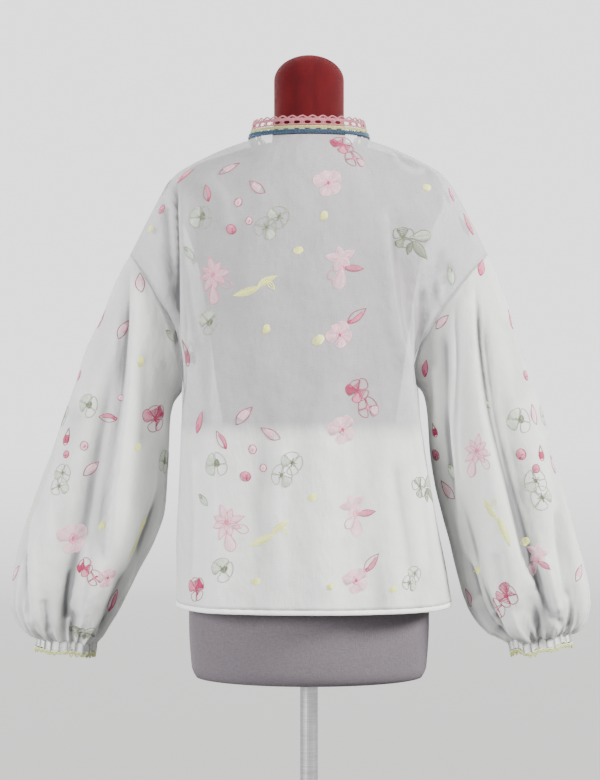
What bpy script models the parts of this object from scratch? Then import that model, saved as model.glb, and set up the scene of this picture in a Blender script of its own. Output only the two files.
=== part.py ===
"""A balloon sleeve blouse hanging on a dress form.

Metres, +Z up, origin at the centre of the base's underside. The back of the blouse faces -Y and the
wearer's left arm is at -X. Every cloth piece is a thin wall: a base surface worked out from a few
sections, soft folds raised on it, and an inner surface one wall inwards.
"""
from math import asin, cos, pi, radians, sin

import bmesh
import bpy
import numpy as np

# Cloth
WALL = 0.0012
SEAM_GAP = 0.0004
SHARP_ANGLE = radians(50)
LEFT, RIGHT = -1, 1
BACK, FRONT = -1, 1

# Body panels: heights and the flat angle share u, which runs from -1 at one side seam to 1 at the other
HEM_Z = 0.729
NECK_SHARE = 0.34
COLUMNS = 30
ROWS_BELOW_ARM = 6
ROWS_ABOVE_ARM = 12
ROW_BUNCHING = 0.6
UNDERARM_Z = {LEFT: 1.017, RIGHT: 1.032}

# One row per height: the half width on each side, and how far the back and front hang from the middle
BODY_SECTIONS = (
    # height, left, right, back, front
    (0.729, 0.184, 0.198, 0.151, 0.163),
    (0.800, 0.184, 0.186, 0.145, 0.161),
    (0.870, 0.182, 0.168, 0.138, 0.159),
    (0.945, 0.179, 0.152, 0.132, 0.157),
    (1.024, 0.178, 0.146, 0.128, 0.154),
)
SECTION_ROUNDNESS = {BACK: 2.7, FRONT: 2.3}

# The top edge of both panels from the side of the neck to the end of the dropped shoulder
SHOULDER_LINE = (
    # share, out from the middle, height
    (0.34, 0.0835, 1.370),
    (0.50, 0.120, 1.357),
    (0.65, 0.160, 1.338),
    (0.74, 0.186, 1.322),
    (0.80, 0.201, 1.304),
    (0.87, 0.215, 1.279),
    (0.94, 0.233, 1.244),
    (1.00, 0.250, 1.210),
)
# Where each panel would end at the neck, how far the neckline is cut below that, and how the panel leans
NECK_DEPTH = {BACK: 0.084, FRONT: 0.040}
NECK_DROP = {BACK: 0.007, FRONT: 0.0}
NECK_CUT = {BACK: 0.0, FRONT: 0.070}
# How far the armhole seam would stand back or forward if the shoulder did not close over it
ARMHOLE_REACH = (
    # share of the way up from the underarm, reach
    (0.00, 0.000),
    (0.05, 0.019),
    (0.15, 0.034),
    (0.30, 0.045),
    (0.50, 0.054),
    (0.70, 0.062),
    (1.00, 0.066),
)
SHOULDER_TURN = 7.0
NECK_TURN = {BACK: 7.0, FRONT: 3.5}
NECKLINE_POWER = 1.6
# The shoulder's ridge is sharper out from the neck, between these shares u
RIDGE_ROUNDNESS = 0.75
RIDGE_ZONE = (0.1, 0.4)
ARM_LEAN = {LEFT: 2.2, RIGHT: 1.7}
# From this share u outwards the columns are drawn back to the side seam
SIDE_ZONE = 0.55

# Soft vertical folds on the body: where they run, how wide they are and how deep (minus is a trough)
BODY_FOLDS = {
    BACK: (
        # x at the top, x at the foot, top height, foot height, width, depth
        (-0.190, -0.186, 1.300, 0.960, 0.0120, -0.010),
        (0.100, 0.180, 1.260, 0.740, 0.012, 0.009),
        (0.126, 0.196, 1.240, 0.760, 0.012, -0.007),
        (-0.120, -0.128, 1.180, 0.729, 0.022, 0.006),
        (-0.060, -0.075, 1.060, 0.729, 0.024, -0.005),
        (0.020, 0.030, 1.040, 0.729, 0.026, 0.005),
        (0.078, 0.095, 1.120, 0.729, 0.020, -0.006),
    ),
    FRONT: (
        (-0.150, -0.160, 1.240, 0.740, 0.014, -0.008),
        (-0.090, -0.105, 1.150, 0.729, 0.022, 0.006),
        (-0.030, -0.040, 1.080, 0.729, 0.022, -0.005),
        (0.035, 0.045, 1.100, 0.729, 0.024, 0.006),
        (0.095, 0.105, 1.130, 0.729, 0.020, -0.006),
        (0.140, 0.155, 1.230, 0.740, 0.014, 0.007),
    ),
}
# Shares of a fold's length over which it fades in and out, and where the panel's sides are left plain
FOLD_FADE_IN = 0.35
FOLD_FADE_OUT = 0.30
PLAIN_SIDE = 0.93

# Sleeves: each ring by its outer and inner points, in the plane of the arms, and half its depth
RING_POINTS = 48
SLEEVE_RINGS = {
    LEFT: (
        # outer x, outer height, inner x, inner height, half depth
        (-0.266, 1.181, -0.190, 1.001, 0.066),
        (-0.290, 1.124, -0.194, 0.980, 0.071),
        (-0.316, 1.058, -0.195, 0.953, 0.074),
        (-0.342, 0.986, -0.197, 0.921, 0.077),
        (-0.365, 0.920, -0.198, 0.886, 0.080),
        (-0.386, 0.862, -0.201, 0.850, 0.083),
        (-0.404, 0.806, -0.216, 0.806, 0.084),
        (-0.415, 0.756, -0.238, 0.764, 0.081),
        (-0.417, 0.722, -0.256, 0.732, 0.072),
        (-0.408, 0.697, -0.272, 0.703, 0.058),
        (-0.396, 0.683, -0.286, 0.682, 0.043),
        (-0.382, 0.675, -0.297, 0.667, 0.031),
    ),
    RIGHT: (
        (0.264, 1.176, 0.160, 1.014, 0.066),
        (0.284, 1.122, 0.165, 0.990, 0.071),
        (0.304, 1.058, 0.167, 0.960, 0.074),
        (0.324, 0.986, 0.170, 0.924, 0.077),
        (0.342, 0.924, 0.176, 0.886, 0.080),
        (0.360, 0.866, 0.186, 0.846, 0.083),
        (0.376, 0.806, 0.198, 0.800, 0.084),
        (0.388, 0.752, 0.209, 0.754, 0.082),
        (0.391, 0.722, 0.224, 0.716, 0.074),
        (0.386, 0.699, 0.244, 0.688, 0.060),
        (0.377, 0.686, 0.262, 0.674, 0.045),
        (0.366, 0.680, 0.279, 0.666, 0.032),
    ),
}
ARMHOLE_BLEND_RINGS = 3
ARMHOLE_BLEND_POWER = 1.5
ARMHOLE_HALF_DEPTH = 0.055
# Long folds on the sleeves: the angle round the ring from the outer line, over the back first
SLEEVE_FOLDS = {
    LEFT: (
        # angle at the top, angle at the foot, first ring, last ring, width in degrees, depth
        (62, 108, 0.6, 12.0, 14, -0.014),
        (95, 132, 2.0, 12.0, 16, 0.010),
        (38, 66, 3.0, 12.0, 15, 0.006),
        (150, 156, 5.0, 12.0, 14, -0.011),
        (215, 208, 1.0, 12.0, 15, -0.011),
        (262, 255, 2.0, 12.0, 17, 0.010),
        (312, 300, 3.0, 12.0, 15, -0.010),
    ),
    RIGHT: (
        (60, 96, 1.0, 12.0, 14, -0.013),
        (92, 120, 2.0, 12.0, 15, 0.010),
        (30, 52, 5.0, 12.0, 14, -0.011),
        (140, 142, 1.5, 12.0, 14, -0.011),
        (205, 212, 1.0, 12.0, 15, -0.010),
        (255, 250, 2.0, 12.0, 17, 0.010),
        (305, 296, 3.0, 12.0, 15, -0.010),
    ),
}
# A long fold loses this share of its depth over the last quarter of its length
FOLD_SOFTENING = 0.75
GATHER_REACH = 5.0
GATHER_DEPTH = 0.0030
GATHER_POWER = 1.3
GATHER_UNEVEN = 0.35
CUFF_LENGTH = 0.012
CUFF_GATHER = 0.0016
CUFF_EDGE_HEIGHT = 0.008
CUFF_EDGE_THICK = 0.0026
CUFF_FLARE = 0.0015

# Hem and neck trim
HEM_HEIGHT = 0.006
HEM_THICK = 0.0028
HEM_END_GAP = 0.0006
# The panels' columns across the neckline carry two crochet stitches each, and each stitch one eyelet
CELLS_PER_COLUMN = 2
LACE_COLUMNS = 3
SIDES = 0
NECK_LEAN = {BACK: radians(12), SIDES: radians(14), FRONT: radians(15)}
BRAID = {"foot": 0.0004, "height": 0.0072, "thick": 0.0034, "swell": 0.0008}
BAND = {"foot": 0.0080, "height": 0.0050, "thick": 0.0024, "swell": 0.0}
LACE = {"foot": 0.0134, "thick": 0.0020, "bar": 0.0020, "eyelet": 0.0052, "rim": 0.0024, "scallop": 0.0034}
# The edges of a crocheted bar are this share of its thickness
BAR_EDGE = 0.6

# Dress form: one row per height
TORSO_SECTIONS = (
    # height, half width, back, front
    (0.620, 0.158, 0.100, 0.096),
    (0.632, 0.164, 0.108, 0.102),
    (0.700, 0.168, 0.116, 0.106),
    (0.780, 0.168, 0.119, 0.106),
    (0.860, 0.150, 0.104, 0.100),
    (0.960, 0.121, 0.080, 0.088),
    (1.040, 0.131, 0.086, 0.110),
    (1.120, 0.142, 0.098, 0.136),
    (1.190, 0.154, 0.104, 0.116),
    (1.245, 0.172, 0.102, 0.096),
    (1.282, 0.188, 0.084, 0.078),
    (1.304, 0.187, 0.070, 0.066),
    (1.322, 0.177, 0.056, 0.054),
    (1.338, 0.151, 0.055, 0.051),
    (1.350, 0.112, 0.055, 0.051),
    (1.362, 0.070, 0.054, 0.054),
)
TORSO_POINTS = 32
NECK_RADIUS = 0.049
NECK_FOOT_RADIUS = 0.052
NECK_FOOT_Z = 1.3624
NECK_WAIST_Z = 1.400
NECK_SIDE_Z = 1.452
NECK_TOP_Z = 1.488
DOME_POINTS = 8
POLE_RADIUS = 0.0125
FLANGE_RADIUS = 0.055
FLANGE_THICK = 0.006
FLANGE_CONE = 0.004
BASE_RADIUS = 0.190
BASE_THICK = 0.014
BASE_EDGE_DROP = 0.003
BASE_EDGE_WIDTH = 0.010
BASE_HUB_RADIUS = 0.026
BASE_HUB_TOP_RADIUS = 0.021
BASE_HUB_FOOT_RADIUS = 0.032
BASE_HUB_HEIGHT = 0.040
ROUND_STEPS = 28
MERGE_DISTANCE = 0.00005

# Colours: red, green, blue, and roughness
COTTON = (0.72, 0.72, 0.70, 0.9)
TEAL = (0.06, 0.17, 0.24, 0.8)
CREAM = (0.50, 0.50, 0.28, 0.8)
PINK = (0.55, 0.27, 0.28, 0.8)
GREEN_YELLOW = (0.48, 0.50, 0.27, 0.8)
GREY_LINEN = (0.30, 0.29, 0.29, 0.9)
RED_VELVET = (0.24, 0.03, 0.035, 0.7)
STEEL = (0.55, 0.55, 0.55, 0.35)


def clear_scene():
    for thing in list(bpy.data.objects):
        bpy.data.objects.remove(thing)


def material(name, colour, metallic=0.0):
    made = bpy.data.materials.new(name)
    made.use_nodes = True
    shader = made.node_tree.nodes["Principled BSDF"]
    shader.inputs["Base Color"].default_value = (*colour[:3], 1.0)
    shader.inputs["Roughness"].default_value = colour[3]
    shader.inputs["Metallic"].default_value = metallic
    return made


def through(rows, at):
    """Each column of a table read at the values `at` of its first one, on a curve with no overshoot."""
    table = np.array(rows, float)
    x, y = table[:, 0], table[:, 1:]
    step = np.diff(x)[:, None]
    slope = np.diff(y, axis=0) / step
    tangent = np.zeros_like(y)
    same_way = slope[:-1] * slope[1:] > 0
    harmonic = 2 * slope[:-1] * slope[1:] / (slope[:-1] + slope[1:] + 1e-30)
    tangent[1:-1][same_way] = harmonic[same_way]
    tangent[0], tangent[-1] = slope[0], slope[-1]
    at = np.clip(np.atleast_1d(np.asarray(at, float)), x[0], x[-1])
    i = np.clip(np.searchsorted(x, at) - 1, 0, len(x) - 2)
    t = ((at - x[i]) / (x[i + 1] - x[i]))[:, None]
    h = step[i]
    return (
        y[i] * (2 * t**3 - 3 * t**2 + 1)
        + tangent[i] * h * (t**3 - 2 * t**2 + t)
        + y[i + 1] * (3 * t**2 - 2 * t**3)
        + tangent[i + 1] * h * (t**3 - t**2)
    )


def ease(x):
    x = np.clip(x, 0.0, 1.0)
    return x * x * (3 - 2 * x)


def unit(vectors):
    return vectors / np.maximum(np.linalg.norm(vectors, axis=-1, keepdims=True), 1e-12)


def column_shares():
    """The shares u of the panel's columns, with one at each side of the neck."""
    shares = np.linspace(-1, 1, COLUMNS + 1)
    for side in (LEFT, RIGHT):
        shares[np.argmin(abs(shares - side * NECK_SHARE))] = side * NECK_SHARE
    return shares


def rows_up():
    """Shares of the way from the underarm to the top edge, a little closer together at both ends."""
    even = np.linspace(0, 1, ROWS_ABOVE_ARM + 1)
    return (1 - ROW_BUNCHING) * even + ROW_BUNCHING * (1 - np.cos(pi * even)) / 2


def body_section(face, u, height):
    """The hanging body at one height: x to each side, and y to the back or front."""
    left, right, back, front = through(BODY_SECTIONS, height).T
    power = 2 / SECTION_ROUNDNESS[face]
    half = np.where(u < 0, left, right)
    x = half * np.sign(u) * abs(np.sin(u * pi / 2)) ** power
    depth = back if face == BACK else front
    y = face * depth * abs(np.cos(u * pi / 2)) ** power
    return x, y


def neck_level(u):
    """1 at the middle of the neck, 0 at the side of the neck and beyond it."""
    return np.cos(np.clip(abs(u) / NECK_SHARE, 0, 1) * pi / 2)


def top_edge(face, u):
    """The shoulder line, and the line over the neck that the panel aims at: x, y and height."""
    out, height = through(SHOULDER_LINE, np.maximum(abs(u), NECK_SHARE)).T
    level = neck_level(u)
    x = np.sign(u) * out * np.sqrt(1 - level**2)
    return x, face * NECK_DEPTH[face] * level, height - NECK_DROP[face] * level


def panel_base(face):
    """The base surface of a body panel: rows from the hem up to the shoulder, columns across it."""
    u = column_shares()
    shoulder_x, shoulder_y, shoulder_z = top_edge(face, u)
    underarm = UNDERARM_Z[LEFT] + (UNDERARM_Z[RIGHT] - UNDERARM_Z[LEFT]) * ease((u + 1) / 2)
    lean = np.where(u < 0, ARM_LEAN[LEFT], ARM_LEAN[RIGHT])
    near_side = ease((abs(u) - SIDE_ZONE) / (1 - SIDE_ZONE))
    inner, outer = RIDGE_ZONE
    ridge = 1 - (1 - RIDGE_ROUNDNESS) * ease((abs(u) - inner) / (outer - inner))
    rows = []
    for share in np.linspace(0, 1, ROWS_BELOW_ARM + 1)[:-1]:
        z = HEM_Z + (underarm - HEM_Z) * share
        rows.append(np.stack([*body_section(face, u, z), z], axis=1))
    whole_x, middle_y = body_section(face, u, underarm)
    level = neck_level(u)
    turn = SHOULDER_TURN + (NECK_TURN[face] - SHOULDER_TURN) * level**2
    whole_height = 1 - NECK_CUT[face] * level**NECKLINE_POWER / (shoulder_z - underarm)
    for share in rows_up():
        up = share * whole_height
        z = underarm + (shoulder_z - underarm) * up
        # The armhole takes the side off the section, so the columns share out what is left of it
        reach = through(ARMHOLE_REACH, share)[0][0] / abs(middle_y).max()
        cut = 1 - asin(reach ** (SECTION_ROUNDNESS[face] / 2)) / (pi / 2)
        x, y = body_section(face, u * cut, underarm)
        x += (whole_x[[0, -1]] - x[[0, -1]])[(u > 0).astype(int)] * near_side
        x += (shoulder_x - x) * up**lean
        y = shoulder_y + (y - shoulder_y) * (1 - up**turn) ** ridge
        rows.append(np.stack([x, y, z], axis=1))
    return np.array(rows)


def bell(distance, width):
    return np.exp(-((distance / width) ** 2))


def panel_folds(face, base):
    """How far each point of a panel is raised, from the table of folds; nothing at its side edges and top."""
    raised = np.zeros(base.shape[:2])
    for top_x, foot_x, top_z, foot_z, width, depth in BODY_FOLDS[face]:
        share = np.clip((top_z - base[..., 2]) / (top_z - foot_z), 0, 1)
        middle = top_x + (foot_x - top_x) * share
        strength = ease(share / FOLD_FADE_IN)
        if foot_z > HEM_Z:
            strength = strength * ease((1 - share) / FOLD_FADE_OUT)
        raised += depth * strength * bell(base[..., 0] - middle, width)
    away = abs(column_shares())
    return raised * (1 - ease((away - PLAIN_SIDE) / (1 - PLAIN_SIDE)))[None, :]


def grid_normals(points, ring=False):
    if ring:
        across = np.roll(points, -1, axis=1) - np.roll(points, 1, axis=1)
    else:
        across = np.gradient(points, axis=1)
    along = np.gradient(points, axis=0)
    return unit(np.cross(across, along))


def armhole_loop(side, back, front):
    """The armhole seam from the end of the shoulder, down the back to the underarm and up the front."""
    column = 0 if side == LEFT else -1
    down = back[ROWS_BELOW_ARM:, column][::-1]
    up = front[ROWS_BELOW_ARM:, column]
    corners = np.concatenate([down, up[1:]])
    halves = (corners[:-1] + corners[1:]) / 2
    return np.stack([corners[:-1], halves], axis=1).reshape(-1, 3)


def sleeve_base(side, loop):
    """The base surface of a sleeve: its first ring is the armhole seam, its last the top of the cuff."""
    angle = np.arange(RING_POINTS) * 2 * pi / RING_POINTS
    tip, pit = loop[0], loop[RING_POINTS // 2]
    rings = [loop]
    for k, (outer_x, outer_z, inner_x, inner_z, depth) in enumerate(SLEEVE_RINGS[side]):
        outer, inner = np.array([outer_x, 0, outer_z]), np.array([inner_x, 0, inner_z])
        centre, half = (outer + inner) / 2, (outer - inner) / 2
        oval = centre + np.cos(angle)[:, None] * half
        oval[:, 1] = BACK * depth * np.sin(angle)
        # The first rings keep some of the armhole's own outline, carried along with the sleeve
        keep = max(0.0, 1 - (k + 1) / (ARMHOLE_BLEND_RINGS + 1))
        along, across = unit(tip - pit), np.array([0, 1.0, 0])
        share = (loop - pit) @ along / np.linalg.norm(tip - pit)
        beside = (loop - pit) - np.outer((loop - pit) @ along, along)
        beside[:, 1] = 0
        carried = inner + np.outer(share, outer - inner) + beside * keep
        carried[:, 1] = (loop @ across) * depth / ARMHOLE_HALF_DEPTH
        share = keep**ARMHOLE_BLEND_POWER
        rings.append(oval * (1 - share) + carried * share)
    return np.array(rings)


def sleeve_folds(side, base):
    """Long folds down the sleeve, and the gathers that fan up from the cuff."""
    degrees = np.arange(RING_POINTS) * 360 / RING_POINTS
    last = len(base) - 1
    raised = np.zeros(base.shape[:2])
    for k in range(1, len(base)):
        for top, foot, first, end, width, depth in SLEEVE_FOLDS[side]:
            share = (k - first) / (end - first)
            if not 0 < share <= 1:
                continue
            middle = top + (foot - top) * share
            strength = ease(share / FOLD_FADE_IN) * (1 - FOLD_SOFTENING * ease(4 * share - 3))
            raised[k] += depth * strength * bell((degrees - middle + 180) % 360 - 180, width)
        near_cuff = np.clip(1 - (last - k) / GATHER_REACH, 0, 1)
        zigzag = np.where(np.arange(RING_POINTS) % 2, 1, -1)
        if k == last:
            raised[k] += CUFF_GATHER * zigzag
        else:
            uneven = 1 + GATHER_UNEVEN * np.sin(3 * np.radians(degrees) + side)
            raised[k] += GATHER_DEPTH * near_cuff**GATHER_POWER * zigzag * uneven
    return raised


def shift_edge(points, normals, index, axis, inward):
    """Moves one edge of a grid half a seam gap towards the grid's own side, in its surface."""
    edge = np.take(points, index, axis=axis)
    normal = np.take(normals, index, axis=axis)
    if axis == 0 and len(edge) == RING_POINTS:
        tangent = np.roll(edge, -1, axis=0) - np.roll(edge, 1, axis=0)
    else:
        tangent = np.gradient(edge, axis=0)
    away = unit(np.cross(normal, unit(tangent)))
    sign = np.sign(np.sum(away * (inward - edge), axis=-1, keepdims=True))
    moved = edge + away * np.where(sign == 0, 1, sign) * SEAM_GAP / 2
    if axis == 0:
        points[index] = moved
    else:
        points[:, index] = moved


def collection_of(name):
    made = bpy.data.collections.new(name)
    bpy.context.scene.collection.children.link(made)
    return made


def add_object(name, mesh, group, finish):
    thing = bpy.data.objects.new(name, mesh)
    mesh.materials.append(finish)
    group.objects.link(thing)
    return thing


def closed_mesh(name, points, faces):
    """A mesh of these faces, turned to face outwards and shaded smooth."""
    build = bmesh.new()
    verts = [build.verts.new(p) for p in points]
    for face in faces:
        build.faces.new([verts[i] for i in face])
    bmesh.ops.recalc_face_normals(build, faces=build.faces)
    mesh = bpy.data.meshes.new(name)
    build.to_mesh(mesh)
    build.free()
    mesh.shade_smooth()
    mesh.set_sharp_from_angle(angle=SHARP_ANGLE)
    return mesh


def cloth_wall(name, outer, inner, ring=False):
    """A thin closed wall between two grids of points, with rims round its open edges."""
    rows, columns = outer.shape[:2]
    points = np.concatenate([outer.reshape(-1, 3), inner.reshape(-1, 3)])
    back = rows * columns

    def at(row, column, layer):
        return layer * back + row * columns + column % columns

    def across(one, other):
        """The rim face between two neighbouring places on an open edge."""
        return at(*one, 0), at(*other, 0), at(*other, 1), at(*one, 1)

    faces = []
    for row in range(rows - 1):
        for column in range(columns if ring else columns - 1):
            for layer in (0, 1):
                low = at(row, column, layer), at(row, column + 1, layer)
                high = at(row + 1, column + 1, layer), at(row + 1, column, layer)
                faces.append(low + high)
    for row in (0, rows - 1):
        for column in range(columns if ring else columns - 1):
            faces.append(across((row, column), (row, column + 1)))
    if not ring:
        for column in (0, columns - 1):
            for row in range(rows - 1):
                faces.append(across((row, column), (row + 1, column)))
    return closed_mesh(name, points, faces)


def loft(name, rings):
    """A solid skin over closed rings with the same number of points, capped at both ends."""
    count, around = len(rings), len(rings[0])
    points = np.concatenate(rings)
    faces = [tuple(range(around)), tuple(range((count - 1) * around, count * around))]
    for k in range(count - 1):
        for i in range(around):
            j = (i + 1) % around
            faces.append((k * around + i, k * around + j, (k + 1) * around + j, (k + 1) * around + i))
    return closed_mesh(name, points, faces)


def build_blouse(group, finishes):
    """Back, front, sleeves, cuffs and hem."""
    base = {face: panel_base(face) for face in (BACK, FRONT)}
    raised = {face: panel_folds(face, base[face]) for face in (BACK, FRONT)}
    # Both panels end on the same points at the seams
    for column in (0, -1):
        seam = base[BACK][: ROWS_BELOW_ARM + 1, column].copy()
        seam[:, 1] = 0
        base[BACK][: ROWS_BELOW_ARM + 1, column] = seam
        base[FRONT][: ROWS_BELOW_ARM + 1, column] = seam
    normals = {face: grid_normals(base[face]) * -face for face in (BACK, FRONT)}
    loops = {side: armhole_loop(side, base[BACK], base[FRONT]) for side in (LEFT, RIGHT)}
    sleeves = {side: sleeve_base(side, loops[side]) for side in (LEFT, RIGHT)}
    sleeve_normals = {side: grid_normals(sleeves[side], ring=True) for side in (LEFT, RIGHT)}
    for side in (LEFT, RIGHT):
        middle = sleeves[side].mean(axis=1, keepdims=True)
        outwards = np.sum(sleeve_normals[side] * (sleeves[side] - middle))
        sleeve_normals[side] *= np.sign(outwards)

    # Shoulder and side seams share one direction through the wall
    u = column_shares()
    for i in np.flatnonzero(abs(u) >= NECK_SHARE - 1e-9):
        both = unit(normals[BACK][-1, i] + normals[FRONT][-1, i])
        normals[BACK][-1, i] = normals[FRONT][-1, i] = both
    for column in (0, -1):
        for row in range(ROWS_BELOW_ARM + 1):
            both = unit(normals[BACK][row, column] + normals[FRONT][row, column])
            normals[BACK][row, column] = normals[FRONT][row, column] = both
    for side, column in ((LEFT, 0), (RIGHT, -1)):
        join_armhole(normals, sleeve_normals[side][0], column)

    # Seam gaps
    for face in (BACK, FRONT):
        grid, normal = base[face], normals[face]
        shift_edge(grid, normal, 0, 1, grid[:, 1])
        shift_edge(grid, normal, -1, 1, grid[:, -2])
        held = grid[-1, abs(u) < NECK_SHARE].copy()
        shift_edge(grid, normal, -1, 0, grid[-2])
        grid[-1, abs(u) < NECK_SHARE] = held
        name = "back_panel" if face == BACK else "front_panel"
        outer = grid + normal * raised[face][..., None]
        add_object(name, cloth_wall(name, outer, outer - normal * WALL), group, finishes["cotton"])
        word = "back" if face == BACK else "front"
        build_hem(f"hem_{word}", outer[0], normal[0], group, finishes["cotton"])
    for side, word in ((LEFT, "left"), (RIGHT, "right")):
        grid, normal = sleeves[side], sleeve_normals[side]
        folds = sleeve_folds(side, grid)
        shift_edge(grid, normal, 0, 0, grid[1])
        axis = wrist_axis(side)
        normal[-1] = unit(normal[-1] - np.outer(normal[-1] @ axis, axis))
        outer = grid + normal * folds[..., None]
        wall = cloth_wall("sleeve", outer, outer - normal * WALL, ring=True)
        add_object(f"sleeve_{word}", wall, group, finishes["cotton"])
        build_cuff(word, outer[-1], normal[-1], axis, group, finishes)
    return base, normals


def shared(one, other):
    """Two walls that meet nearly flat share one direction; folded back on each other, each keeps its own."""
    folded, flat = -0.1, 0.6
    share = ease((one @ other - folded) / (flat - folded))
    both = unit(one + other)
    return unit(one * (1 - share) + both * share), unit(other * (1 - share) + both * share)


def join_armhole(normals, ring, column):
    """The directions through the walls of both panels and the sleeve along the armhole."""
    half = RING_POINTS // 2
    for j in range(1, ROWS_ABOVE_ARM):
        row = ROWS_BELOW_ARM + j
        for face, i in ((BACK, half - 2 * j), (FRONT, half + 2 * j)):
            normals[face][row, column], ring[i] = shared(normals[face][row, column], ring[i])
    tip = unit(normals[BACK][-1, column] + normals[FRONT][-1, column] + ring[0])
    normals[BACK][-1, column] = normals[FRONT][-1, column] = ring[0] = tip
    for i in range(1, RING_POINTS, 2):
        ring[i] = unit(ring[i - 1] + ring[(i + 1) % RING_POINTS])


def build_hem(name, edge, normal, group, finish):
    """The rolled hem hangs from the panel's lower edge as a narrow bar, a seam gap below it."""
    tops = edge - np.array([0, 0, SEAM_GAP])
    out = normal * np.array([1, 1, 0])
    out = unit(out)
    sections = []
    for top, way in zip(tops, out):
        foot = top - np.array([0, 0, HEM_HEIGHT])
        proud = way * (HEM_THICK - WALL) / 2
        inside = way * HEM_THICK
        sections.append([top + proud, foot + proud, foot + proud - inside, top + proud - inside])
    # The ends stand a seam gap apart at the side seams
    sections = np.array(sections)
    sections[0] += unit(sections[1] - sections[0]) * HEM_END_GAP
    sections[-1] += unit(sections[-2] - sections[-1]) * HEM_END_GAP
    add_object(name, loft(name, list(sections)), group, finish)


def wrist_axis(side):
    """The way that the wrist opening faces: square to the sleeve's last ring."""
    outer_x, outer_z, inner_x, inner_z, _ = SLEEVE_RINGS[side][-1]
    return unit(np.cross([inner_x - outer_x, 0, inner_z - outer_z], [0, side, 0]))


def build_cuff(word, edge, out, axis, group, finishes):
    """A gathered elastic band below the sleeve, and the crocheted edging below the band."""
    top = edge + axis * SEAM_GAP
    foot = top + axis * CUFF_LENGTH
    outer = np.stack([top, foot])
    name = f"cuff_{word}"
    add_object(name, cloth_wall(name, outer, outer - out * WALL, ring=True), group, finishes["cotton"])
    # The edging follows the band's own middle line, without its gathers
    smooth = (foot + (np.roll(foot, 1, axis=0) + np.roll(foot, -1, axis=0)) / 2) / 2
    ring = smooth + axis * SEAM_GAP + out * (CUFF_EDGE_THICK - WALL) / 2
    outer = np.stack([ring, ring + axis * CUFF_EDGE_HEIGHT + out * CUFF_FLARE])
    name = f"cuff_edge_{word}"
    wall = cloth_wall(name, outer, outer - out * CUFF_EDGE_THICK, ring=True)
    add_object(name, wall, group, finishes["green_yellow"])


def neck_rim(face, edge, below, normal, parts):
    """Places along the neckline, `parts` to a column: the rim's middle and the ways of wall and trim."""
    u = column_shares()
    held = abs(u) <= NECK_SHARE + 1e-9
    middle = edge[held] - normal[held] * WALL / 2
    along = unit(np.gradient(middle, axis=0))
    table = np.concatenate([middle, normal[held], u[held, None], (edge - below)[held], along], axis=1)
    at = np.arange((len(table) - 1) * parts + 1) / parts
    rows = np.stack([np.interp(at, np.arange(len(table)), column) for column in table.T], axis=1)
    along = unit(rows[:, 10:])
    level = 1 - (rows[:, 6] / NECK_SHARE) ** 2
    lean = NECK_LEAN[SIDES] + (NECK_LEAN[face] - NECK_LEAN[SIDES]) * level
    out = unit(np.cross(along, [0, 0, -face]))
    up = np.array([0, 0, 1.0]) * np.cos(lean)[:, None] - out * np.sin(lean)[:, None]
    up = unit(up - along * np.sum(up * along, axis=1, keepdims=True))
    out = np.cross(along, up) * -face
    wall = unit(rows[:, 3:6] - along * np.sum(rows[:, 3:6] * along, axis=1, keepdims=True))
    rise = np.cross(along, wall)
    rise *= np.sign(np.sum(rise * rows[:, 7:10], axis=1, keepdims=True))
    points = rows[:, :3]
    points[0] += along[0] * SEAM_GAP
    points[-1] -= along[-1] * SEAM_GAP
    return points, wall, rise, out, up


def build_braid(name, rim, row, group, finish, seated):
    """A crocheted row as a bar that swells at each stitch; the lowest row sits square on the panel's rim."""
    sections = []
    for i, (point, wall, rise, out, up) in enumerate(zip(*rim)):
        swell = row["swell"] * (1 if i % 2 else -1)
        low_out, low_up = (wall, rise) if seated else (out, up)
        foot = point + low_up * SEAM_GAP if seated else point + up * row["foot"]
        top = point + up * (row["foot"] + row["height"])
        half = row["thick"] / 2
        belly = (foot + top) / 2 + out * (half + swell)
        outside = [foot + low_out * half * BAR_EDGE, belly, top + out * half * BAR_EDGE]
        sections.append(outside + [top - out * half, foot - low_out * half])
    add_object(name, loft(name, sections), group, finish)


def build_lace(name, rim, group, finish):
    """The open row: a foot bar, posts with eyelets between them, and a scalloped bar over them."""
    points, _, _, out, up = rim
    columns = len(points) - 1
    levels = np.cumsum([LACE["foot"], LACE["bar"], LACE["eyelet"], LACE["rim"]])
    grid = np.zeros((2, len(levels), columns + 1, 3))
    for column in range(columns + 1):
        for k, level in enumerate(levels):
            peak = k == len(levels) - 1 and column % LACE_COLUMNS == LACE_COLUMNS - 1
            middle = points[column] + up[column] * (level + (LACE["scallop"] if peak else 0))
            grid[0, k, column] = middle + out[column] * LACE["thick"] / 2
            grid[1, k, column] = middle - out[column] * LACE["thick"] / 2
    solid = {(k, c): k != 1 or c % LACE_COLUMNS == 0 for k in range(len(levels) - 1) for c in range(columns)}
    solid[1, columns - 1] = True
    add_object(name, cut_wall(name, grid, solid), group, finish)


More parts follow.
